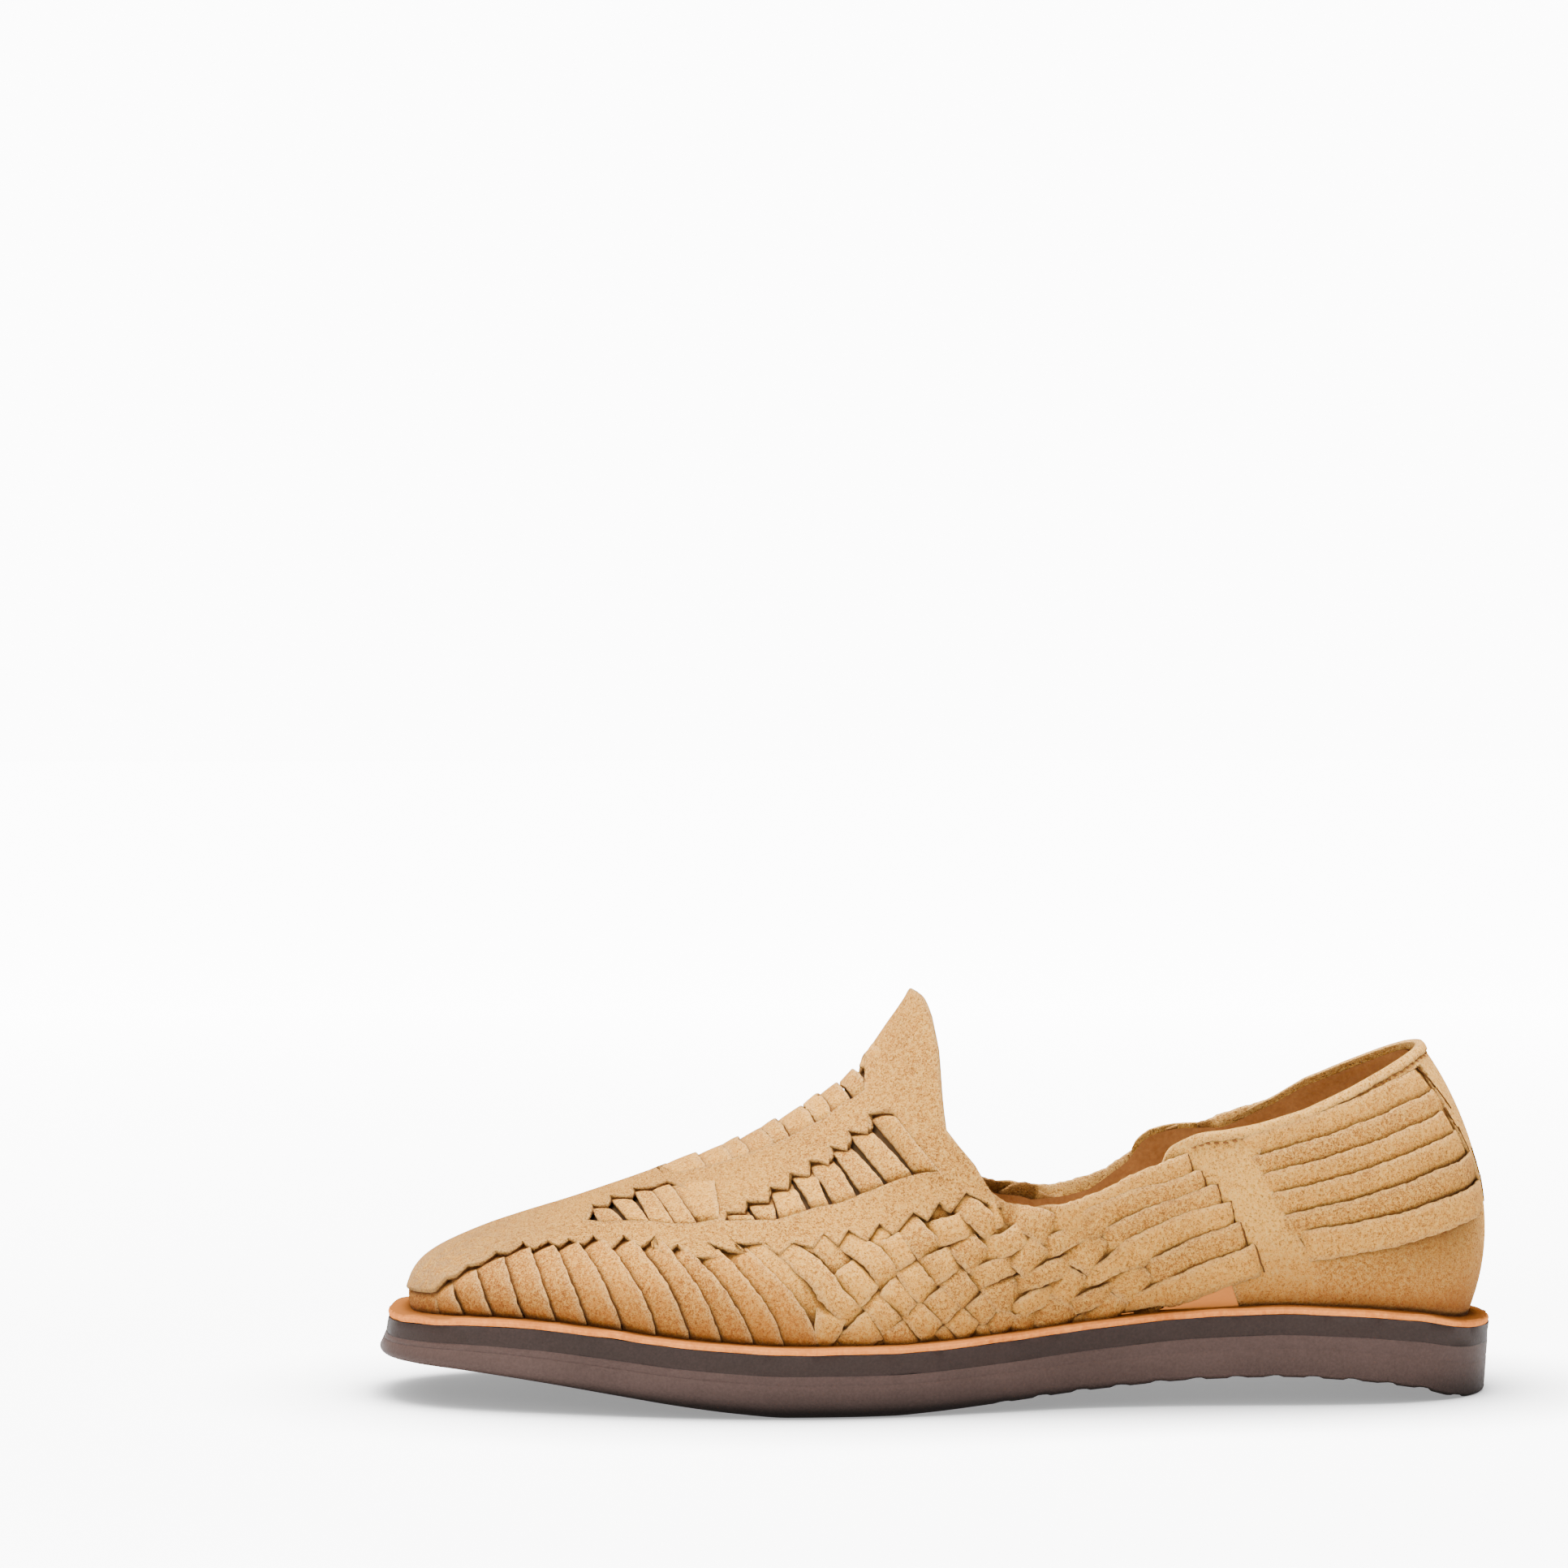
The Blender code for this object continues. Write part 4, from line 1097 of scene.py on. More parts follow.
def lining_skin(bm, offset, trim):
    for side in (1, -1):
        turns = np.linspace(0, VAMP_REAR, 110)
        top = collar_top(turns, side) - trim
        if side < 0:
            top -= np.interp(turns, (7.16, 7.2, 7.6, 8.4), (0.0, 0.03, 0.055, 0.0))
        gap = np.interp(turns, (6.22, 6.3, 6.45, 6.7, 6.87, 7.02), (0, 0.075, 0.08, 0.07, 0.045, 0))
        flat = lambda lift: (np.zeros(len(lift)), np.full(len(lift), VAMP_REAR))
        sheet(bm, turns / VAMP_REAR, gap, top, 14, flat, offset, side)
        shares = np.linspace(0, 1, 150)
        low = np.zeros(len(shares))
        high = np.full(len(shares), pi / 2)
        sheet(bm, shares, low, high, 40, lining_span, offset, side)
    bmesh.ops.remove_doubles(bm, verts=bm.verts, dist=3e-5)
    face_out(bm)


inner = bmesh.new()
lining_skin(inner, LINING_DEPTH, 0.006)
bmesh.ops.reverse_faces(inner, faces=inner.faces)
finish_piece("lining", inner, insole_leather, ("upper",))
# The outer skin is dark: its colour is painted shade for what shows through the gaps.
outer = bmesh.new()
lining_skin(outer, UNDERLAY_DEPTH, 0.012)
finish_piece("shadow_underlay", outer, shadow_leather)

# %% [markdown]
# ### Vamp
#
# The vamp is the part that stays whole: two side bands that meet over the toe, two central bands beside
# the ridge, the bridges that join them and the pointed tongue. Its lower edge is cut into teeth, and a
# rib comes out from under each slit. `SLITS` has a row for each slit, toe first: where it starts low on
# the toe side, and its apex.

# %%
SLITS = (
    (19.05, 0.27, 18.80, 0.424), (18.54, 0.439, 18.38, 0.581),
    (18.05, 0.592, 17.87, 0.746), (17.55, 0.701, 17.37, 0.836), (17.09, 0.716, 16.88, 0.802),
    (16.66, 0.712, 16.55, 0.79), (16.29, 0.70, 16.16, 0.785), (15.87, 0.634, 15.71, 0.742),
    (15.45, 0.62, 15.25, 0.694), (15.10, 0.544, 14.93, 0.611), (14.68, 0.506, 14.50, 0.585),
    (14.30, 0.484, 14.12, 0.551), (13.92, 0.470, 13.76, 0.529), (13.55, 0.446, 13.37, 0.490),
    (13.11, 0.435, 12.95, 0.487), (12.61, 0.415, 12.36, 0.469), (11.90, 0.385, 11.55, 0.428),
    (11.19, 0.352, 10.65, 0.394), (10.28, 0.345, 9.97, 0.386), (9.78, 0.345, 9.51, 0.397),
)
WINDOW_STRAPS = (
    # top left, top right, foot left, foot right: turn and lift of each corner
    (14.26, 0.776, 13.93, 0.720, 14.19, 0.709, 13.89, 0.679),
    (13.96, 0.812, 13.63, 0.757, 13.81, 0.664, 13.60, 0.634),
    (13.64, 0.853, 13.34, 0.787, 13.52, 0.634, 13.21, 0.645),
    (13.38, 0.895, 13.06, 0.812, 13.08, 0.630, 12.82, 0.615),
    (13.12, 0.911, 12.62, 0.820, 12.63, 0.600, 12.18, 0.612),
    (12.74, 0.935, 12.20, 0.845, 11.98, 0.598, 11.42, 0.562),
    (12.30, 0.968, 11.70, 0.850, 11.25, 0.548, 10.72, 0.529),
    (11.74, 0.955, 11.14, 0.817, 10.54, 0.510, 9.99, 0.475),
)
FRONT_STRAPS = (
    (16.34, 1.195, 16.04, 1.113, 16.10, 0.93, 15.72, 0.875),
    (16.04, 1.262, 15.68, 1.150, 15.66, 0.89, 15.36, 0.835),
    (15.64, 1.270, 15.38, 1.195, 15.33, 0.83, 14.99, 0.765),
    (15.36, 1.210, 15.12, 1.215, 14.94, 0.76, 14.68, 0.735),
    (15.10, 1.215, 14.42, 1.060, 14.66, 0.76, 14.36, 0.735),
)
REAR_WINDOW_LOW = (
    (9.97, 0.475), (10.68, 0.515), (11.37, 0.553), (12.0, 0.592), (12.63, 0.602), (13.1, 0.625),
    (13.6, 0.635), (13.9, 0.672), (14.28, 0.712),
)
REAR_WINDOW_HIGH = (
    (9.97, 0.475), (11.10, 0.805), (11.72, 0.945), (11.75, 0.845), (12.26, 0.958), (12.30, 0.845),
    (12.72, 0.928), (12.75, 0.815), (13.12, 0.903), (13.14, 0.81), (13.38, 0.885), (13.40, 0.785),
    (13.65, 0.848), (13.67, 0.755), (13.97, 0.808), (13.99, 0.730), (14.25, 0.772), (14.28, 0.712),
)
FRONT_WINDOW_LOW = (
    (14.36, 0.735), (14.68, 0.735), (15.00, 0.762), (15.36, 0.828), (15.70, 0.872), (16.05, 0.905),
    (16.36, 0.985),
)
FRONT_WINDOW_HIGH = (
    (14.36, 0.735), (14.42, 1.05), (15.10, 1.215), (15.36, 1.205), (15.64, 1.268), (15.67, 1.150),
    (16.03, 1.262), (16.06, 1.113), (16.33, 1.195), (16.36, 0.985),
)
CROWN = (
    (11.70, 1.571), (11.78, 1.125), (12.35, 1.180), (12.85, 1.150), (13.50, 1.170), (14.00, 1.205),
    (14.60, 1.240), (15.00, 1.290), (15.20, 1.40), (15.24, 1.571),
)
VAMP_TOP = 1.0             # height of the hide's face over the last
VAMP_THICKNESS = 1.4


def teeth_line():
    """The vamp's lower edge: up each slit, then down under the rib to the next one."""
    rows = [(TOE, 0.235), (19.25, 0.25)]
    for low_turn, low_lift, apex_turn, apex_lift in SLITS:
        rows += [(low_turn, low_lift), (apex_turn, apex_lift)]
    rows.append((9.05, 0.35))
    rows.append((8.92, 0.345))
    return rows[::-1]


def vamp_columns(tables):
    """Even columns, with one more at every corner of the edges."""
    corners = np.concatenate([as_shares(rows)[:, 0] for rows in tables])
    even = np.linspace(0, 1, 190)
    keep = [s for s in even if np.abs(corners - s).min() > 0.0015]
    return np.unique(np.clip(np.concatenate([corners, keep]), 0, 1).round(5))


def share_line(rows):
    shares, lifts = as_shares(rows).T
    order = np.argsort(shares, kind="stable")
    return shares[order], lifts[order]


teeth = teeth_line()
window_lows = (REAR_WINDOW_LOW, FRONT_WINDOW_LOW)
window_highs = (REAR_WINDOW_HIGH, FRONT_WINDOW_HIGH)
columns = vamp_columns((teeth, CROWN) + window_lows + window_highs)
lower = np.interp(columns, *share_line(teeth))
crown_shares, crown_lifts = share_line(CROWN)
upper = np.interp(columns, crown_shares, crown_lifts, left=pi / 2, right=pi / 2)
middle_low = lower + (upper - lower) * 0.45
middle_high = middle_low.copy()
for low_rows, high_rows in zip(window_lows, window_highs):
    low_shares, low_lifts = share_line(low_rows)
    high_shares, high_lifts = share_line(high_rows)
    within = (columns >= low_shares[0]) & (columns <= low_shares[-1])
    middle_low = np.where(within, np.interp(columns, low_shares, low_lifts), middle_low)
    middle_high = np.where(within, np.interp(columns, high_shares, high_lifts), middle_high)
# between the windows the seam of the two strips runs from one window's corner to the next
between = [as_shares(REAR_WINDOW_LOW)[-1], as_shares(FRONT_WINDOW_LOW)[0]]
bridge = (columns > between[0][0]) & (columns < between[1][0])
middle_low[bridge] = np.interp(columns[bridge], [b[0] for b in between], [b[1] for b in between])
middle_high[bridge] = middle_low[bridge]
last_share, last_lift = as_shares(FRONT_WINDOW_LOW)[-1]
ahead_of = columns > last_share
middle_low[ahead_of] = np.interp(columns[ahead_of], (last_share, 1.0), (last_lift, 0.8))
middle_high[ahead_of] = middle_low[ahead_of]
first_share, first_lift = as_shares(REAR_WINDOW_LOW)[0]
behind = columns < first_share
middle_low[behind] = first_lift
middle_high[behind] = first_lift

vamp = bmesh.new()
for side in (1, -1):
    sheet(vamp, columns, lower, middle_low, 12, vamp_span, VAMP_TOP, side)
    sheet(vamp, columns, middle_high, upper, 18, vamp_span, VAMP_TOP, side)
mark_rims(vamp, 0.6, 0.3, 0.5)
HIDE = (("SOLIDIFY", {"thickness": VAMP_THICKNESS * MM, "offset": -1.0}),)
finish_piece("vamp", vamp, band_suede, modifiers=HIDE)

# %% [markdown]
# ### Ribs and plaits
#
# One set of straps makes the sides. Each comes out of a slit in the vamp and runs down and back to the
# sole. The first twelve only lie side by side, each lapping the next like boards on a hull. From the
# thirteenth on they are plaited with a second set, which starts at the sole and runs up and back, and
# whose ends fan out to the counter. The paths in `RISING` and `CROSSING` are copied positions too.

# %%
RIBS = (
    # the middle of each rib where it meets the board (the turn is used), and its width there
    (18.66, 8.6), (17.98, 7.9), (17.38, 8.9), (16.84, 8.0), (16.41, 9.4), (15.93, 8.8),
    (15.46, 9.3), (15.01, 8.4), (14.57, 9.8), (14.14, 8.4), (13.73, 9.0), (13.31, 8.6),
)
RIB_LAP = 0.9
RIB_BEND = 1.35            # ribs stand steeper towards the sole
RISING = {
    # straps of the first set that are plaited, by the slit that they come from
    13: ((13.86, 0.495), (13.30, 0.259), (12.85, 0.086), (12.67, -0.01)),
    14: ((13.45, 0.461), (12.66, 0.187), (11.96, 0.056), (11.75, -0.01)),
    15: ((13.05, 0.457), (12.17, 0.247), (11.46, 0.094), (10.83, -0.01)),
    16: ((12.46, 0.439), (11.63, 0.289), (11.09, 0.150), (10.43, 0.056), (9.93, -0.01)),
    17: ((11.72, 0.412), (11.09, 0.296), (10.63, 0.180), (9.97, 0.097), (9.59, 0.034), (9.28, -0.01)),
    18: ((10.94, 0.382), (10.52, 0.304), (9.96, 0.210), (9.65, 0.135), (9.29, 0.071), (8.92, 0.026),
         (8.75, -0.01)),
    19: ((10.12, 0.371), (9.74, 0.300), (9.47, 0.229), (9.08, 0.172), (8.95, 0.109), (8.57, 0.075),
         (8.27, 0.030), (8.10, -0.01)),
    20: ((9.64, 0.375), (9.28, 0.322), (8.83, 0.247), (8.58, 0.199), (8.36, 0.150), (8.06, 0.101),
         (7.85, 0.060), (7.68, 0.019), (7.55, -0.01)),
    21: ((9.21, 0.386), (8.92, 0.337), (8.47, 0.292), (8.11, 0.244), (7.77, 0.180), (7.56, 0.135),
         (7.38, 0.094), (7.22, 0.049), (7.09, 0.007)),
}
CROSSING = (
    ((13.15, -0.01), (12.85, 0.086), (12.66, 0.187), (12.17, 0.247), (11.63, 0.289), (11.09, 0.296),
     (10.52, 0.304), (9.74, 0.300), (9.28, 0.322), (8.92, 0.330)),
    ((12.5, -0.01), (11.96, 0.056), (11.46, 0.094), (11.09, 0.150), (10.63, 0.180), (9.96, 0.210),
     (9.47, 0.229), (8.83, 0.247), (8.47, 0.292), (8.03, 0.300), (7.69, 0.330), (7.34, 0.375),
     (7.0, 0.416), (6.67, 0.454)),
    ((11.38, -0.01), (10.93, 0.019), (10.43, 0.056), (9.97, 0.097), (9.65, 0.135), (9.08, 0.172),
     (8.58, 0.199), (8.11, 0.244), (7.69, 0.296), (7.35, 0.330), (7.0, 0.352), (6.54, 0.401)),
    ((9.93, -0.01), (9.59, 0.034), (9.29, 0.071), (8.95, 0.109), (8.36, 0.150), (7.82, 0.191),
     (7.53, 0.236), (7.18, 0.274), (6.84, 0.307), (6.38, 0.356)),
    ((9.28, -0.01), (8.92, 0.026), (8.57, 0.075), (8.06, 0.101), (7.76, 0.135), (7.35, 0.191),
     (7.01, 0.232), (6.67, 0.266), (6.25, 0.296)),
    ((8.75, -0.01), (8.63, 0.011), (8.27, 0.030), (7.85, 0.060), (7.39, 0.097), (7.01, 0.139),
     (6.67, 0.180), (6.14, 0.236)),
    ((8.0, -0.01), (7.69, 0.019), (7.3, 0.045), (7.0, 0.060), (6.66, 0.094), (6.33, 0.127),
     (5.98, 0.165)),
)
PLAIT_FIRST = 13
PLAIT_GAP = 0.2            # between straps that lie side by side
FAN_WIDTH = 8.4
OVER, UNDER = 0.95, -0.95
PLATEAU = 2.0              # half the length over which a strap lies level at a crossing


def slit_centre(k):
    low_turn, low_lift, apex_turn, apex_lift = SLITS[k]
    return (low_turn + apex_turn) / 2, (low_lift + apex_lift) / 2


def rib_path(k):
    """From under the vamp, through the slit and down to the board."""
    turn, lift = slit_centre(k)
    foot = RIBS[k][0]
    path = []
    for share in (1.1, 1.0, 0.8, 0.6, 0.4, 0.2, 0.06, -0.02):
        bent = np.sign(share) * abs(share) ** RIB_BEND
        path.append((foot + (turn - foot) * bent, lift * share))
    return path


def random_tone():
    return float(np.clip(chance.normal(0.5, 0.3), 0, 1))


ribs = bmesh.new()
for side in (1, -1):
    for k in range(len(RIBS)):
        path = rib_path(k)
        beside = [rib_path(n) for n in (k - 1, k + 1) if 0 <= n < len(RIBS)]
        if k == len(RIBS) - 1:
            beside.append(RISING[PLAIT_FIRST])
        spare = RIB_LAP if k < len(RIBS) - 1 else 2 * RIB_LAP
        width = [(x, w + spare) for x, w in room_beside(path, beside, side)]
        length = width[-1][0]
        slit = length * 0.1
        height = ((0, -1.3), (slit, -1.1), (slit + 3.0, 0.15), (length, 0.2))
        lean = ((0, 0.0), (slit, 0.1), (slit + 4.0, 0.8), (length, 0.7))
        lay_strap(ribs, path_edges(path, side, width), height, lean, random_tone())
toe_lifts = np.linspace(0.42, -0.02, 12)
toe_edges = [np.column_stack([np.full(12, turn), toe_lifts]) for turn in (2 * TOE - 18.98, 18.98)]
lay_strap(ribs, (*toe_edges, np.linspace(0, 18, 12)), ((0, -1.0), (7.0, -0.8), (10.0, 0.0), (18, 0.1)),
          tone=0.2, top_steps=28, crown=0.0)
close_straps(ribs)
finish_piece("ribs", ribs, rib_suede)

# %% [markdown]
# In the plait every strap goes over one and under the next. Where two paths come nearest is found by
# measuring, and the sum of their numbers says which is on top, so the whole plait follows from the
# paths alone.

# %%
def nearest(path_a, path_b, side):
    """Distances along two paths where they cross, or None."""
    places_a, run_a = smooth_path(path_a, side, 1.0)
    places_b, run_b = smooth_path(path_b, side, 1.0)
    a = wall_at(*places_a.T)
    b = wall_at(*places_b.T)
    apart = np.linalg.norm(a[:, None] - b[None], axis=2)
    i, j = np.unravel_index(np.argmin(apart), apart.shape)
    if apart[i, j] > 1.5:
        return None
    return run_a[i], run_b[j]


def plait_heights(nodes, length, start, end):
    """Height nodes from the crossings, with the strap's own height at each end."""
    inner = [(x + step, h) for x, h in sorted(nodes) for step in (-PLATEAU, PLATEAU)]
    return [(0.0, start)] + [(x, h) for x, h in inner if 1.0 < x < length - 1.0] + [(length, end)]


def extended(path, amount):
    """The path with its start carried back by a share of its first step."""
    first, second = np.array(path[0]), np.array(path[1])
    return [tuple(first + (first - second) * amount)] + list(path)


# lift by which each strap of the fan lies lower on the inner side, and how that fades along the shoe
INNER_DROP = (0.0, 0.055, 0.040, 0.025, 0.010, 0.0, 0.0)
DROP_TURNS, DROP_SHARES = (6.9, 7.4, 8.5), (0.5, 1.0, 0.0)


def crossing_paths(side):
    """The second set's paths; past turn 8.5 they are the same on both sides."""
    if side > 0:
        return CROSSING
    return [
        tuple((turn, lift - drop * float(np.interp(turn, DROP_TURNS, DROP_SHARES))) for turn, lift in path)
        for drop, path in zip(INNER_DROP, CROSSING)
    ]


for side, name in ((1, "outer"), (-1, "inner")):
    crossing = crossing_paths(side)
    rising = {k: extended(path, 0.35) for k, path in RISING.items()}
    marks_a = {k: [] for k in rising}
    marks_b = {j: [] for j in range(len(CROSSING))}
    for k, path_a in rising.items():
        for j, path_b in enumerate(crossing):
            hit = nearest(path_a, path_b, side)
            if hit:
                rises = (k + j) % 2 == 0
                marks_a[k].append((hit[0], OVER if rises else UNDER))
                marks_b[j].append((hit[1], UNDER if rises else OVER))
    bm = bmesh.new()
    for k, path in rising.items():
        beside = [rising[n] for n in (k - 1, k + 1) if n in rising]
        if k == PLAIT_FIRST:
            beside.append(rib_path(len(RIBS) - 1))
        spare = 1.2 if k == PLAIT_FIRST else 0.4
        width = [(x, w + spare) for x, w in room_beside(path, beside, side)]
        length = width[-1][0]
        nodes = plait_heights(marks_a[k], length, -1.1, 0.0)
        if nodes[1][0] > 8:
            nodes.insert(1, (6.5, 0.2))
        lay_strap(bm, path_edges(path, side, width), nodes, tone=random_tone(), crown=0.35)
    for j, path in enumerate(crossing):
        beside = [crossing[n] for n in (j - 1, j + 1) if 0 <= n < len(crossing)]
        width = [(x, w - PLAIT_GAP) for x, w in room_beside(path, beside, side)]
        length = width[-1][0]
        fan = j > 0
        nodes = plait_heights(marks_b[j], length, 0.0, 0.4 if fan else -0.6)
        last = max(x for x, _ in marks_b[j])
        if fan:
            nodes = [n for n in nodes if n[0] < last + 3] + [(last + 9.0, 1.7 + 0.12 * j)]
            nodes += [(length - 3.6, 2.0), (length - 1.8, 0.2), (length, -0.3)]
            width = [(x, w) for x, w in width if x < last + 2] + [(last + 6, FAN_WIDTH), (length, FAN_WIDTH)]
        lean = ((0, 0.0), (last, 0.0), (last + 8.0, 0.75), (length - 4, 0.6), (length, 0.2)) if fan else 0.0
        lay_strap(bm, path_edges(path, side, width), nodes, lean, random_tone(), crown=0.35)
    close_straps(bm)
    finish_piece(f"plait_{name}", bm, strap_suede)

# %% [markdown]
# ### Window straps
#
# Across the vamp's windows lie smoother straps. They are tucked under the teeth of the central band at
# the top and under the side band at the foot.

# %%
window = bmesh.new()
for side in (1, -1):
    for corners in WINDOW_STRAPS + FRONT_STRAPS:
        rearmost = corners in (WINDOW_STRAPS[-1], FRONT_STRAPS[-1])
        edges = corner_edges(corners, side, 4.0, 1.0)
        length = edges[-1][-1]
        high = 0.5 if rearmost else 0.0
        height = ((0, -1.2), (4.0, -1.0), (6.5, high), (length - 6, high), (length - 3.5, -0.8),
                  (length, -1.2))
        lay_strap(window, edges, height, 0.7 if rearmost else 0.2, random_tone(), crown=0.3)
close_straps(window)
finish_piece("window_straps", window, strap_suede)

# %% [markdown]
# ### Straps over the ridge
#
# Along the ridge a row of straps crosses from side to side, bent forward in the middle like a chevron.
# Each laps the one in front of it, and their ends are tucked under the central bands.

# %%
# from the tongue forward: where each strap starts on the ridge, and how high it lies
RIDGE_STRAPS = (
    (160.3, 0.2), (166.0, 0.3), (170.6, 0.25), (175.7, 0.6), (179.7, 0.1), (186.6, 0.6), (190.3, 0.1),
    (196.6, 0.6), (200.4, 0.1), (207.2, 0.5), (216.5, 0.0),
)
RIDGE_REACH = 1.04         # lift where the ends are tucked in
CHEVRON = 3.6              # mm that a strap's middle lies ahead of its ends


def ridge_turn(station):
    return float(np.interp(station, LAST["ridge_station"], np.arange(TOE + 1)))


braid = bmesh.new()
for (start, high), (end, _) in zip(RIDGE_STRAPS[:-1], RIDGE_STRAPS[1:]):
    middle = (start + end) / 2
    path = [(ridge_turn(middle - CHEVRON), RIDGE_REACH), (ridge_turn(middle - CHEVRON * 0.5), 1.30),
            (ridge_turn(middle), pi / 2 - 0.001)]
    path += [(turn, pi - lift) for turn, lift in path[-2::-1]]
    edges = path_edges(path, 1, end - start + 0.9)
    run = edges[-1][-1]
    height = ((0, -1.2), (run * 0.15, -0.9), (run * 0.33, high), (run * 0.67, high), (run * 0.85, -0.9),
              (run, -1.2))
    lay_strap(braid, edges, height, -0.3, random_tone(), crown=0.15)
close_straps(braid)
finish_piece("ridge_straps", braid, strap_suede)

# %% [markdown]
# ## Heel counter
#
# The counter is one piece of hide round the heel, with a window on each side that six straps cross. It
# has a cup below, a slanting bar at the ankle, a strip up the back and a doubled rim along the collar.

# %%
# (lift, turn) of the counter's edges
FRONT_EDGE = (
    (0.0, 6.24), (0.06, 6.32), (0.185, 6.46), (0.31, 6.72), (0.36, 6.95), (0.40, 7.09), (1.6, 7.09),
)
INNER_FRONT = ((0.0, 6.24), (0.06, 6.32), (0.185, 6.46), (0.31, 6.80), (0.36, 7.16), (1.6, 7.16))
BAR_EDGE = (
    (0.0, 5.30), (0.19, 5.53), (0.229, 5.64), (0.295, 5.76), (0.361, 5.87), (0.415, 5.96),
    (0.485, 6.06), (0.60, 6.20),
)
# (turn, lift) of the window's lower and rear edges
WINDOW_LOW = ((0.92, 0.450), (1.10, 0.420), (2.30, 0.385), (3.58, 0.335), (4.57, 0.268), (5.53, 0.190))
STRIP_EDGE = ((0.92, 0.450), (1.28, 0.520), (1.70, 0.599), (2.00, 0.685), (2.14, 0.779), (2.24, 0.90))
WINDOW_CORNERS = (0.190, 0.485)    # lifts of the window's two front corners
RIM_WIDTH = 4.6
HOLLOW = 1.8               # how far the cup falls back under the lowest strap
COUNTER_TOP = 1.35
REAR_STRAPS = (
    # station and height of the front end and of the rear one, seen from the side, and how high the strap
    # rides; the lowest one rides over the cup
    (66.8, 64.9, 19.8, 81.4, 0.7), (64.0, 59.9, 15.6, 75.8, 0.8), (61.6, 55.5, 13.6, 70.2, 0.9),
    (59.0, 50.6, 10.6, 64.8, 1.0), (56.0, 45.2, 6.9, 58.6, 1.1), (51.5, 41.0, 4.3, 51.2, 1.7),
)


def edge_turn(line, lift):
    lifts, turns = np.array(line).T
    return np.interp(lift, lifts, turns)


def rear_span(lift):
    return np.zeros(len(lift)), edge_turn(BAR_EDGE, lift)


def bar_span(lift):
    return edge_turn(BAR_EDGE, lift), edge_turn(FRONT_EDGE, lift)


def inner_bar_span(lift):
    return edge_turn(BAR_EDGE, lift), edge_turn(INNER_FRONT, lift)


def along(span, rows):
    """Shares and lifts of chart points between a span's two edges."""
    turn, lift = np.array(rows).T
    back, front = span(lift)
    return (turn - back) / (front - back), lift


counter = bmesh.new()
for side in (1, -1):
    front_span = bar_span if side > 0 else inner_bar_span
    turns = np.linspace(0, COUNTER_CORNER[side][-1][0], 150)
    top = list(zip(turns, collar_top(turns, side)))
    rim_line = [(s, z - RIM_WIDTH) for s, z in TOPLINE]
    rim_turns = np.linspace(2.35, 5.95, 24)
    rim_low = list(zip(rim_turns, lift_at_height(rim_turns, rim_line, side)))
    window_low = along(rear_span, WINDOW_LOW)
    window_high = along(rear_span, list(STRIP_EDGE) + rim_low + [(6.06, WINDOW_CORNERS[1])])
    corners = np.concatenate([window_low[0], window_high[0]])
    even = [s for s in np.linspace(0, 1, 130) if np.abs(corners - s).min() > 0.002]
    shares = np.unique(np.concatenate([corners, even]).round(5))
    seam_low = np.interp(shares, *window_low)
    opened = shares >= window_low[0][0]
    seam_high = np.where(opened, np.interp(shares, *window_high), seam_low)
    across = (shares - window_low[0][0]).clip(0) / (1 - window_low[0][0])
    sunk = HOLLOW * np.sin(across * pi) ** 0.5
    rise = np.linspace(0, 1, 13)
    low_offset = COUNTER_TOP - (sunk[:, None] * rise**2).ravel()
    # Painted shadow on the cup under the lowest strap, stored with the points as painted shade.
    shaded = (1.7 * np.sin(across * pi)[:, None] * rise**2.2).ravel()
    zero = np.zeros(len(shares))
    sheet(counter, shares, zero, seam_low, 12, rear_span, low_offset, side, 0.4, shaded)
    rear_top = np.interp(shares, *along(rear_span, top))
    sheet(counter, shares, seam_high, rear_top, 12, rear_span, COUNTER_TOP, side)
    shares = np.linspace(0, 1, 28)
    ones = np.ones(28)
    bar_top = np.interp(shares, *along(front_span, top))
    low, high = WINDOW_CORNERS[0] * ones, np.minimum(WINDOW_CORNERS[1], bar_top - 0.02)
    for start, end in ((0 * ones, low), (low, high), (high, bar_top)):
        sheet(counter, shares, start, end, 12, front_span, COUNTER_TOP, side, 1.0)
mark_rims(counter, 0.6, 0.2, 0.6)
COUNTER_HIDE = (("SOLIDIFY", {"thickness": 1.3 * MM, "offset": -1.0}),)
finish_piece("counter", counter, counter_suede, ("heel_counter",), modifiers=COUNTER_HIDE)

# %% [markdown]
# The ends of the straps are pushed through slots in the counter. The shadow in each slot is painted as a
# narrow dark strip laid across the strap.

# %%
SLIT_WIDTH = 0.32
SLIT_TOP = COUNTER_TOP + 0.12
slit_shadows = bmesh.new()


def lay_slit_shadow(edges, before_end):
    """A narrow dark strip of painted shadow across a strap, a little before its end, where it goes into the
    counter.
    """
    first, second, run = edges
    at = run[-1] - before_end
    left, right = (
        np.array([np.interp(at, run, edge[:, c]) for c in (0, 1)]) for edge in (first, second)
    )
    ends = [left * 0.97 + right * 0.03, right * 0.93 + left * 0.07]
    lay_strap(slit_shadows, path_edges(ends, 1, SLIT_WIDTH), SLIT_TOP, thick=0.4, crown=0.0, top_steps=3, rim=0.0)


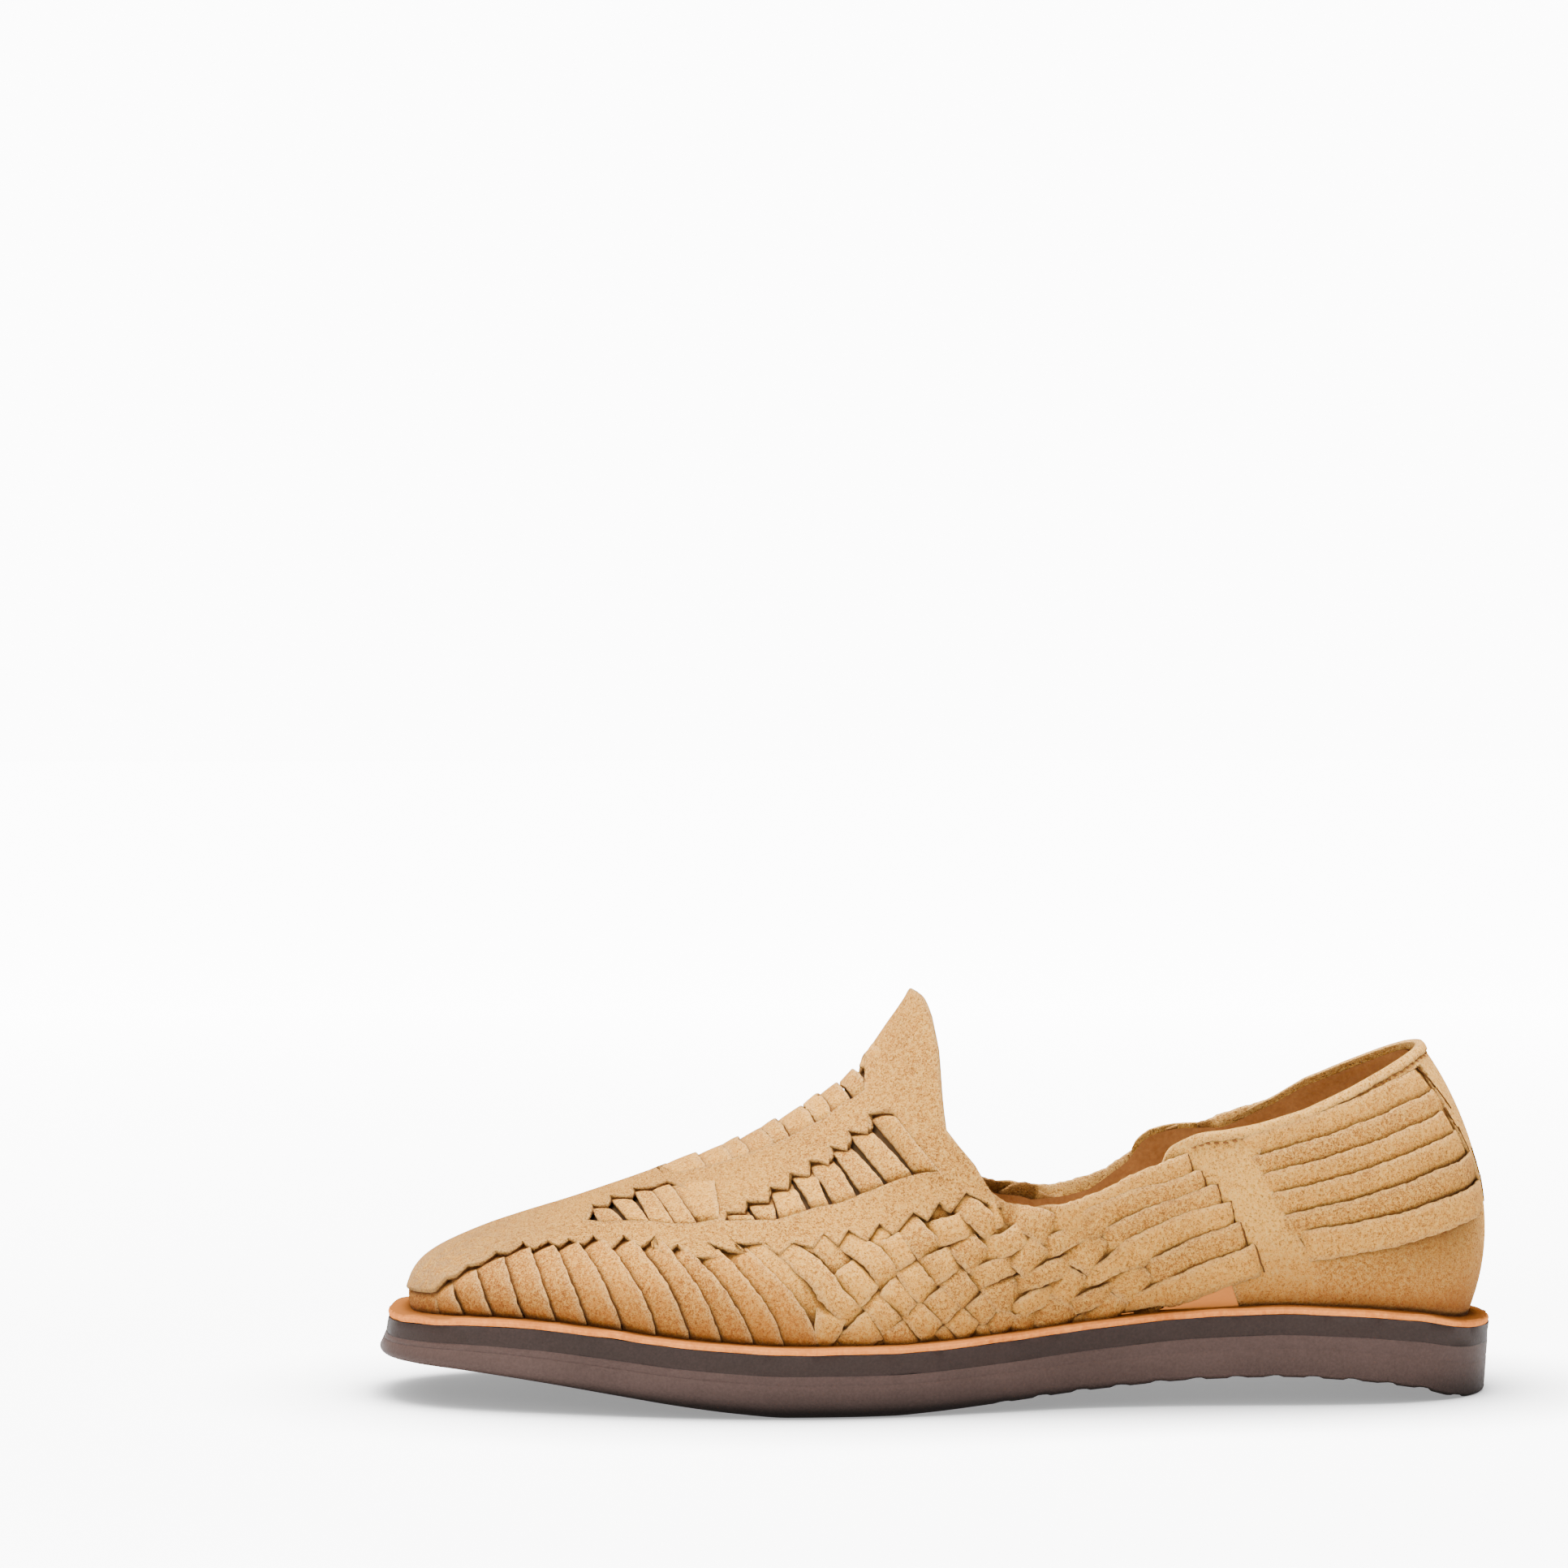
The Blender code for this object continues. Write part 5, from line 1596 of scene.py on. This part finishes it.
REAR_WIDTH = 8.2
REAR_SAG = 1.2             # mm that a rear strap hangs in the middle
rear = bmesh.new()
for side in (1, -1):
    for front_s, front_z, back_s, back_z, rides in REAR_STRAPS:
        stations = np.linspace(front_s, back_s, 6)
        sag = REAR_SAG * np.sin(np.linspace(0, pi, 6))
        line = chart_line(list(zip(stations, np.linspace(front_z, back_z, 6) - sag)))
        first, last = line[0] * 2 - line[1], line[-1] + (line[-1] - line[-2]) * 0.45
        path = [line[0] + (first - line[0]) * 0.6] + list(line) + [last]
        edges = path_edges(path, side, REAR_WIDTH)
        run = edges[-1][-1]
        height = ((0, -0.7), (2.5, -0.35), (6.5, rides), (run * 0.6, rides), (run - 8.0, 0.5),
                  (run - 5.0, 0.4), (run - 3.2, -0.5), (run, -1.3))
        slack = 0.3 if rides > 1.5 else 0.85
        lean = ((0, 0.1), (8.0, slack), (run - 8.0, slack), (run - 3.0, 0.0))
        lay_strap(rear, edges, height, lean, random_tone())
        lay_slit_shadow(edges, 3.4)
close_straps(rear)
finish_piece("rear_straps", rear, strap_suede)
for side in (1, -1):
    for path in crossing_paths(side)[1:]:
        lay_slit_shadow(path_edges(path, side, FAN_WIDTH), 2.0)
close_straps(slit_shadows)
finish_piece("slit_shadows", slit_shadows, slit_shadow)

# %% [markdown]
# The collar's edge is turned over and sewn down. It is laid as a narrow band that follows the topline,
# with a row of stitches sunk in the groove below it.

# %%
COLLAR_WIDTH = 2.8
STITCH_PITCH = 2.3
STITCH_SIZE = (0.7, 0.35, 0.2)    # half length, half width and half depth
collar, stitches = bmesh.new(), bmesh.new()
for side in (1, -1):
    corner = COUNTER_CORNER[side]
    turns = np.linspace(0, corner[0][0] - 0.3, 40)
    outline_path = list(zip(turns, collar_top(turns, side))) + list(corner[:4])
    outline_path.reverse()
    edge, run = smooth_path(outline_path, side)
    below = path_edges(outline_path, side, 2 * COLLAR_WIDTH)[1]
    seam = path_edges(outline_path, side, 2 * COLLAR_WIDTH + 0.7)[1]
    height = ((0, -1.8), (1.5, -1.0), (5.5, COUNTER_TOP), (run[-1], COUNTER_TOP))
    lay_strap(collar, (edge, below, run), height, 0.0, 0.8, thick=1.3, crown=0.35, rim=0.8)
    for at in np.arange(5.0, run[-1] - 1.0, STITCH_PITCH):
        turn, lift = (np.interp(at, run, seam[:, c]) for c in (0, 1))
        place = np.array([[turn, lift]])
        ahead = wall_at(*(place + [[0.05, 0.0]]).T)[0] - wall_at(*place.T)[0]
        frame_x = Vector(ahead).normalized()
        frame_z = Vector(normal_at(*place.T)[0])
        frame_y = frame_z.cross(frame_x).normalized()
        spot = Vector(world(on_last(*place.T, [COUNTER_TOP + 0.05]))[0])
        turned = Matrix((frame_x, frame_y, frame_z)).transposed().to_4x4()
        size = Matrix.Diagonal((*(s * MM for s in STITCH_SIZE), 1.0))
        bmesh.ops.create_uvsphere(
            stitches, u_segments=6, v_segments=4, radius=1.0, matrix=Matrix.Translation(spot) @ turned @ size
        )
close_straps(collar)
finish_piece("collar_edge", collar, counter_suede)
finish_piece("collar_stitches", stitches, thread)

# %% [markdown]
# ## Light, floor and camera
#
# A white floor and broad soft lights, as for a catalogue. The camera looks at the outer side from a
# little above, a touch towards the toe.

# %%
CAMERA_PLACE = (0.1256, 1.4352, 0.2041)
CAMERA_TILT, CAMERA_HEADING = 88.187, 176.585    # degrees
CAMERA_LENS, CAMERA_SENSOR = 127.0, 36.0
CAMERA_REACH = 50.0        # m
FLOOR_HALF = 6.0           # m
FLOOR_NEAR, FLOOR_FAR = 0.25, 1.4    # m from the shoe between which the floor brightens
# The contact shadow under the sole is painted into the floor by occlusion.
CONTACT_REACH = 0.06       # m that the shadow under the sole reaches
FLOOR_GLOW = 0.35          # what lights the shoe from below
FLOOR_SEEN = (3.8, 11.6)    # added for the camera near the shoe and far away
SKY_LIGHT, SKY_SEEN = 0.72, 12.0   # what lights the shoe, and what the camera sees


def studio():
    floor = bmesh.new()
    bmesh.ops.create_grid(floor, x_segments=1, y_segments=1, size=FLOOR_HALF)
    mesh = bpy.data.meshes.new("floor")
    floor.to_mesh(mesh)
    floor.free()
    ground = bpy.data.objects.new("floor", mesh)
    bpy.context.scene.collection.objects.link(ground)
    paint, tree, shader = new_finish("white_floor", 0.5)
    shader.inputs["Emission Color"].default_value = (1.0, 1.0, 1.0, 1.0)
    away = node(tree, "VectorMath")
    away.operation = "LENGTH"
    tree.links.new(tree.nodes.new("ShaderNodeTexCoord").outputs["Object"], away.inputs[0])
    # Painted contact shadow: occlusion near the sole greys the floor's colour and dims the glow it shows the
    # camera.
    shade = tree.nodes.new("ShaderNodeAmbientOcclusion")
    shade.inputs["Distance"].default_value = CONTACT_REACH
    openness = reckon(tree, "POWER", shade.outputs["AO"], 3.0)
    floor_with_painted_shadow = blend(tree, openness, (0.12, 0.12, 0.12), (0.93, 0.93, 0.93))
    tree.links.new(floor_with_painted_shadow, shader.inputs["Base Color"])
    # The glow that the camera sees is brighter away from the shoe; FLOOR_GLOW lights the shoe from below.
    shown = times(tree, spread(tree, away.outputs["Value"], FLOOR_NEAR, FLOOR_FAR, *FLOOR_SEEN), openness)
    seen = tree.nodes.new("ShaderNodeLightPath").outputs["Is Camera Ray"]
    glow = reckon(tree, "ADD", times(tree, seen, shown), FLOOR_GLOW)
    tree.links.new(glow, shader.inputs["Emission Strength"])
    mesh.materials.append(paint)
    sky = bpy.data.worlds.new("studio")
    sky.use_nodes = True
    tree = sky.node_tree
    glow = tree.nodes["Background"]
    glow.inputs["Color"].default_value = (1.0, 1.0, 1.0, 1.0)
    seen = tree.nodes.new("ShaderNodeLightPath").outputs["Is Camera Ray"]
    tree.links.new(spread(tree, seen, 0.0, 1.0, SKY_LIGHT, SKY_SEEN), glow.inputs["Strength"])
    bpy.context.scene.world = sky


def soft_light(name, place, aim, size, watts):
    lamp = bpy.data.lights.new(name, "AREA")
    lamp.shape = "RECTANGLE"
    lamp.size, lamp.size_y = size
    lamp.energy = watts
    made = bpy.data.objects.new(name, lamp)
    bpy.context.scene.collection.objects.link(made)
    made.location = place
    made.rotation_euler = (Vector(aim) - Vector(place)).to_track_quat("-Z", "Y").to_euler()


studio()
soft_light("overhead", (0.05, -0.12, 1.1), (0, 0, 0.03), (0.9, 0.7), 86.0)
soft_light("front", (0.7, 1.6, 0.9), (0, 0, 0.05), (0.8, 0.6), 27.0)

camera_data = bpy.data.cameras.new("camera")
camera = bpy.data.objects.new("camera", camera_data)
bpy.context.scene.collection.objects.link(camera)
camera_data.lens = CAMERA_LENS
camera_data.sensor_width = CAMERA_SENSOR
camera_data.clip_end = CAMERA_REACH
camera.location = CAMERA_PLACE
camera.rotation_euler = (radians(CAMERA_TILT), 0.0, radians(CAMERA_HEADING))
bpy.context.scene.camera = camera
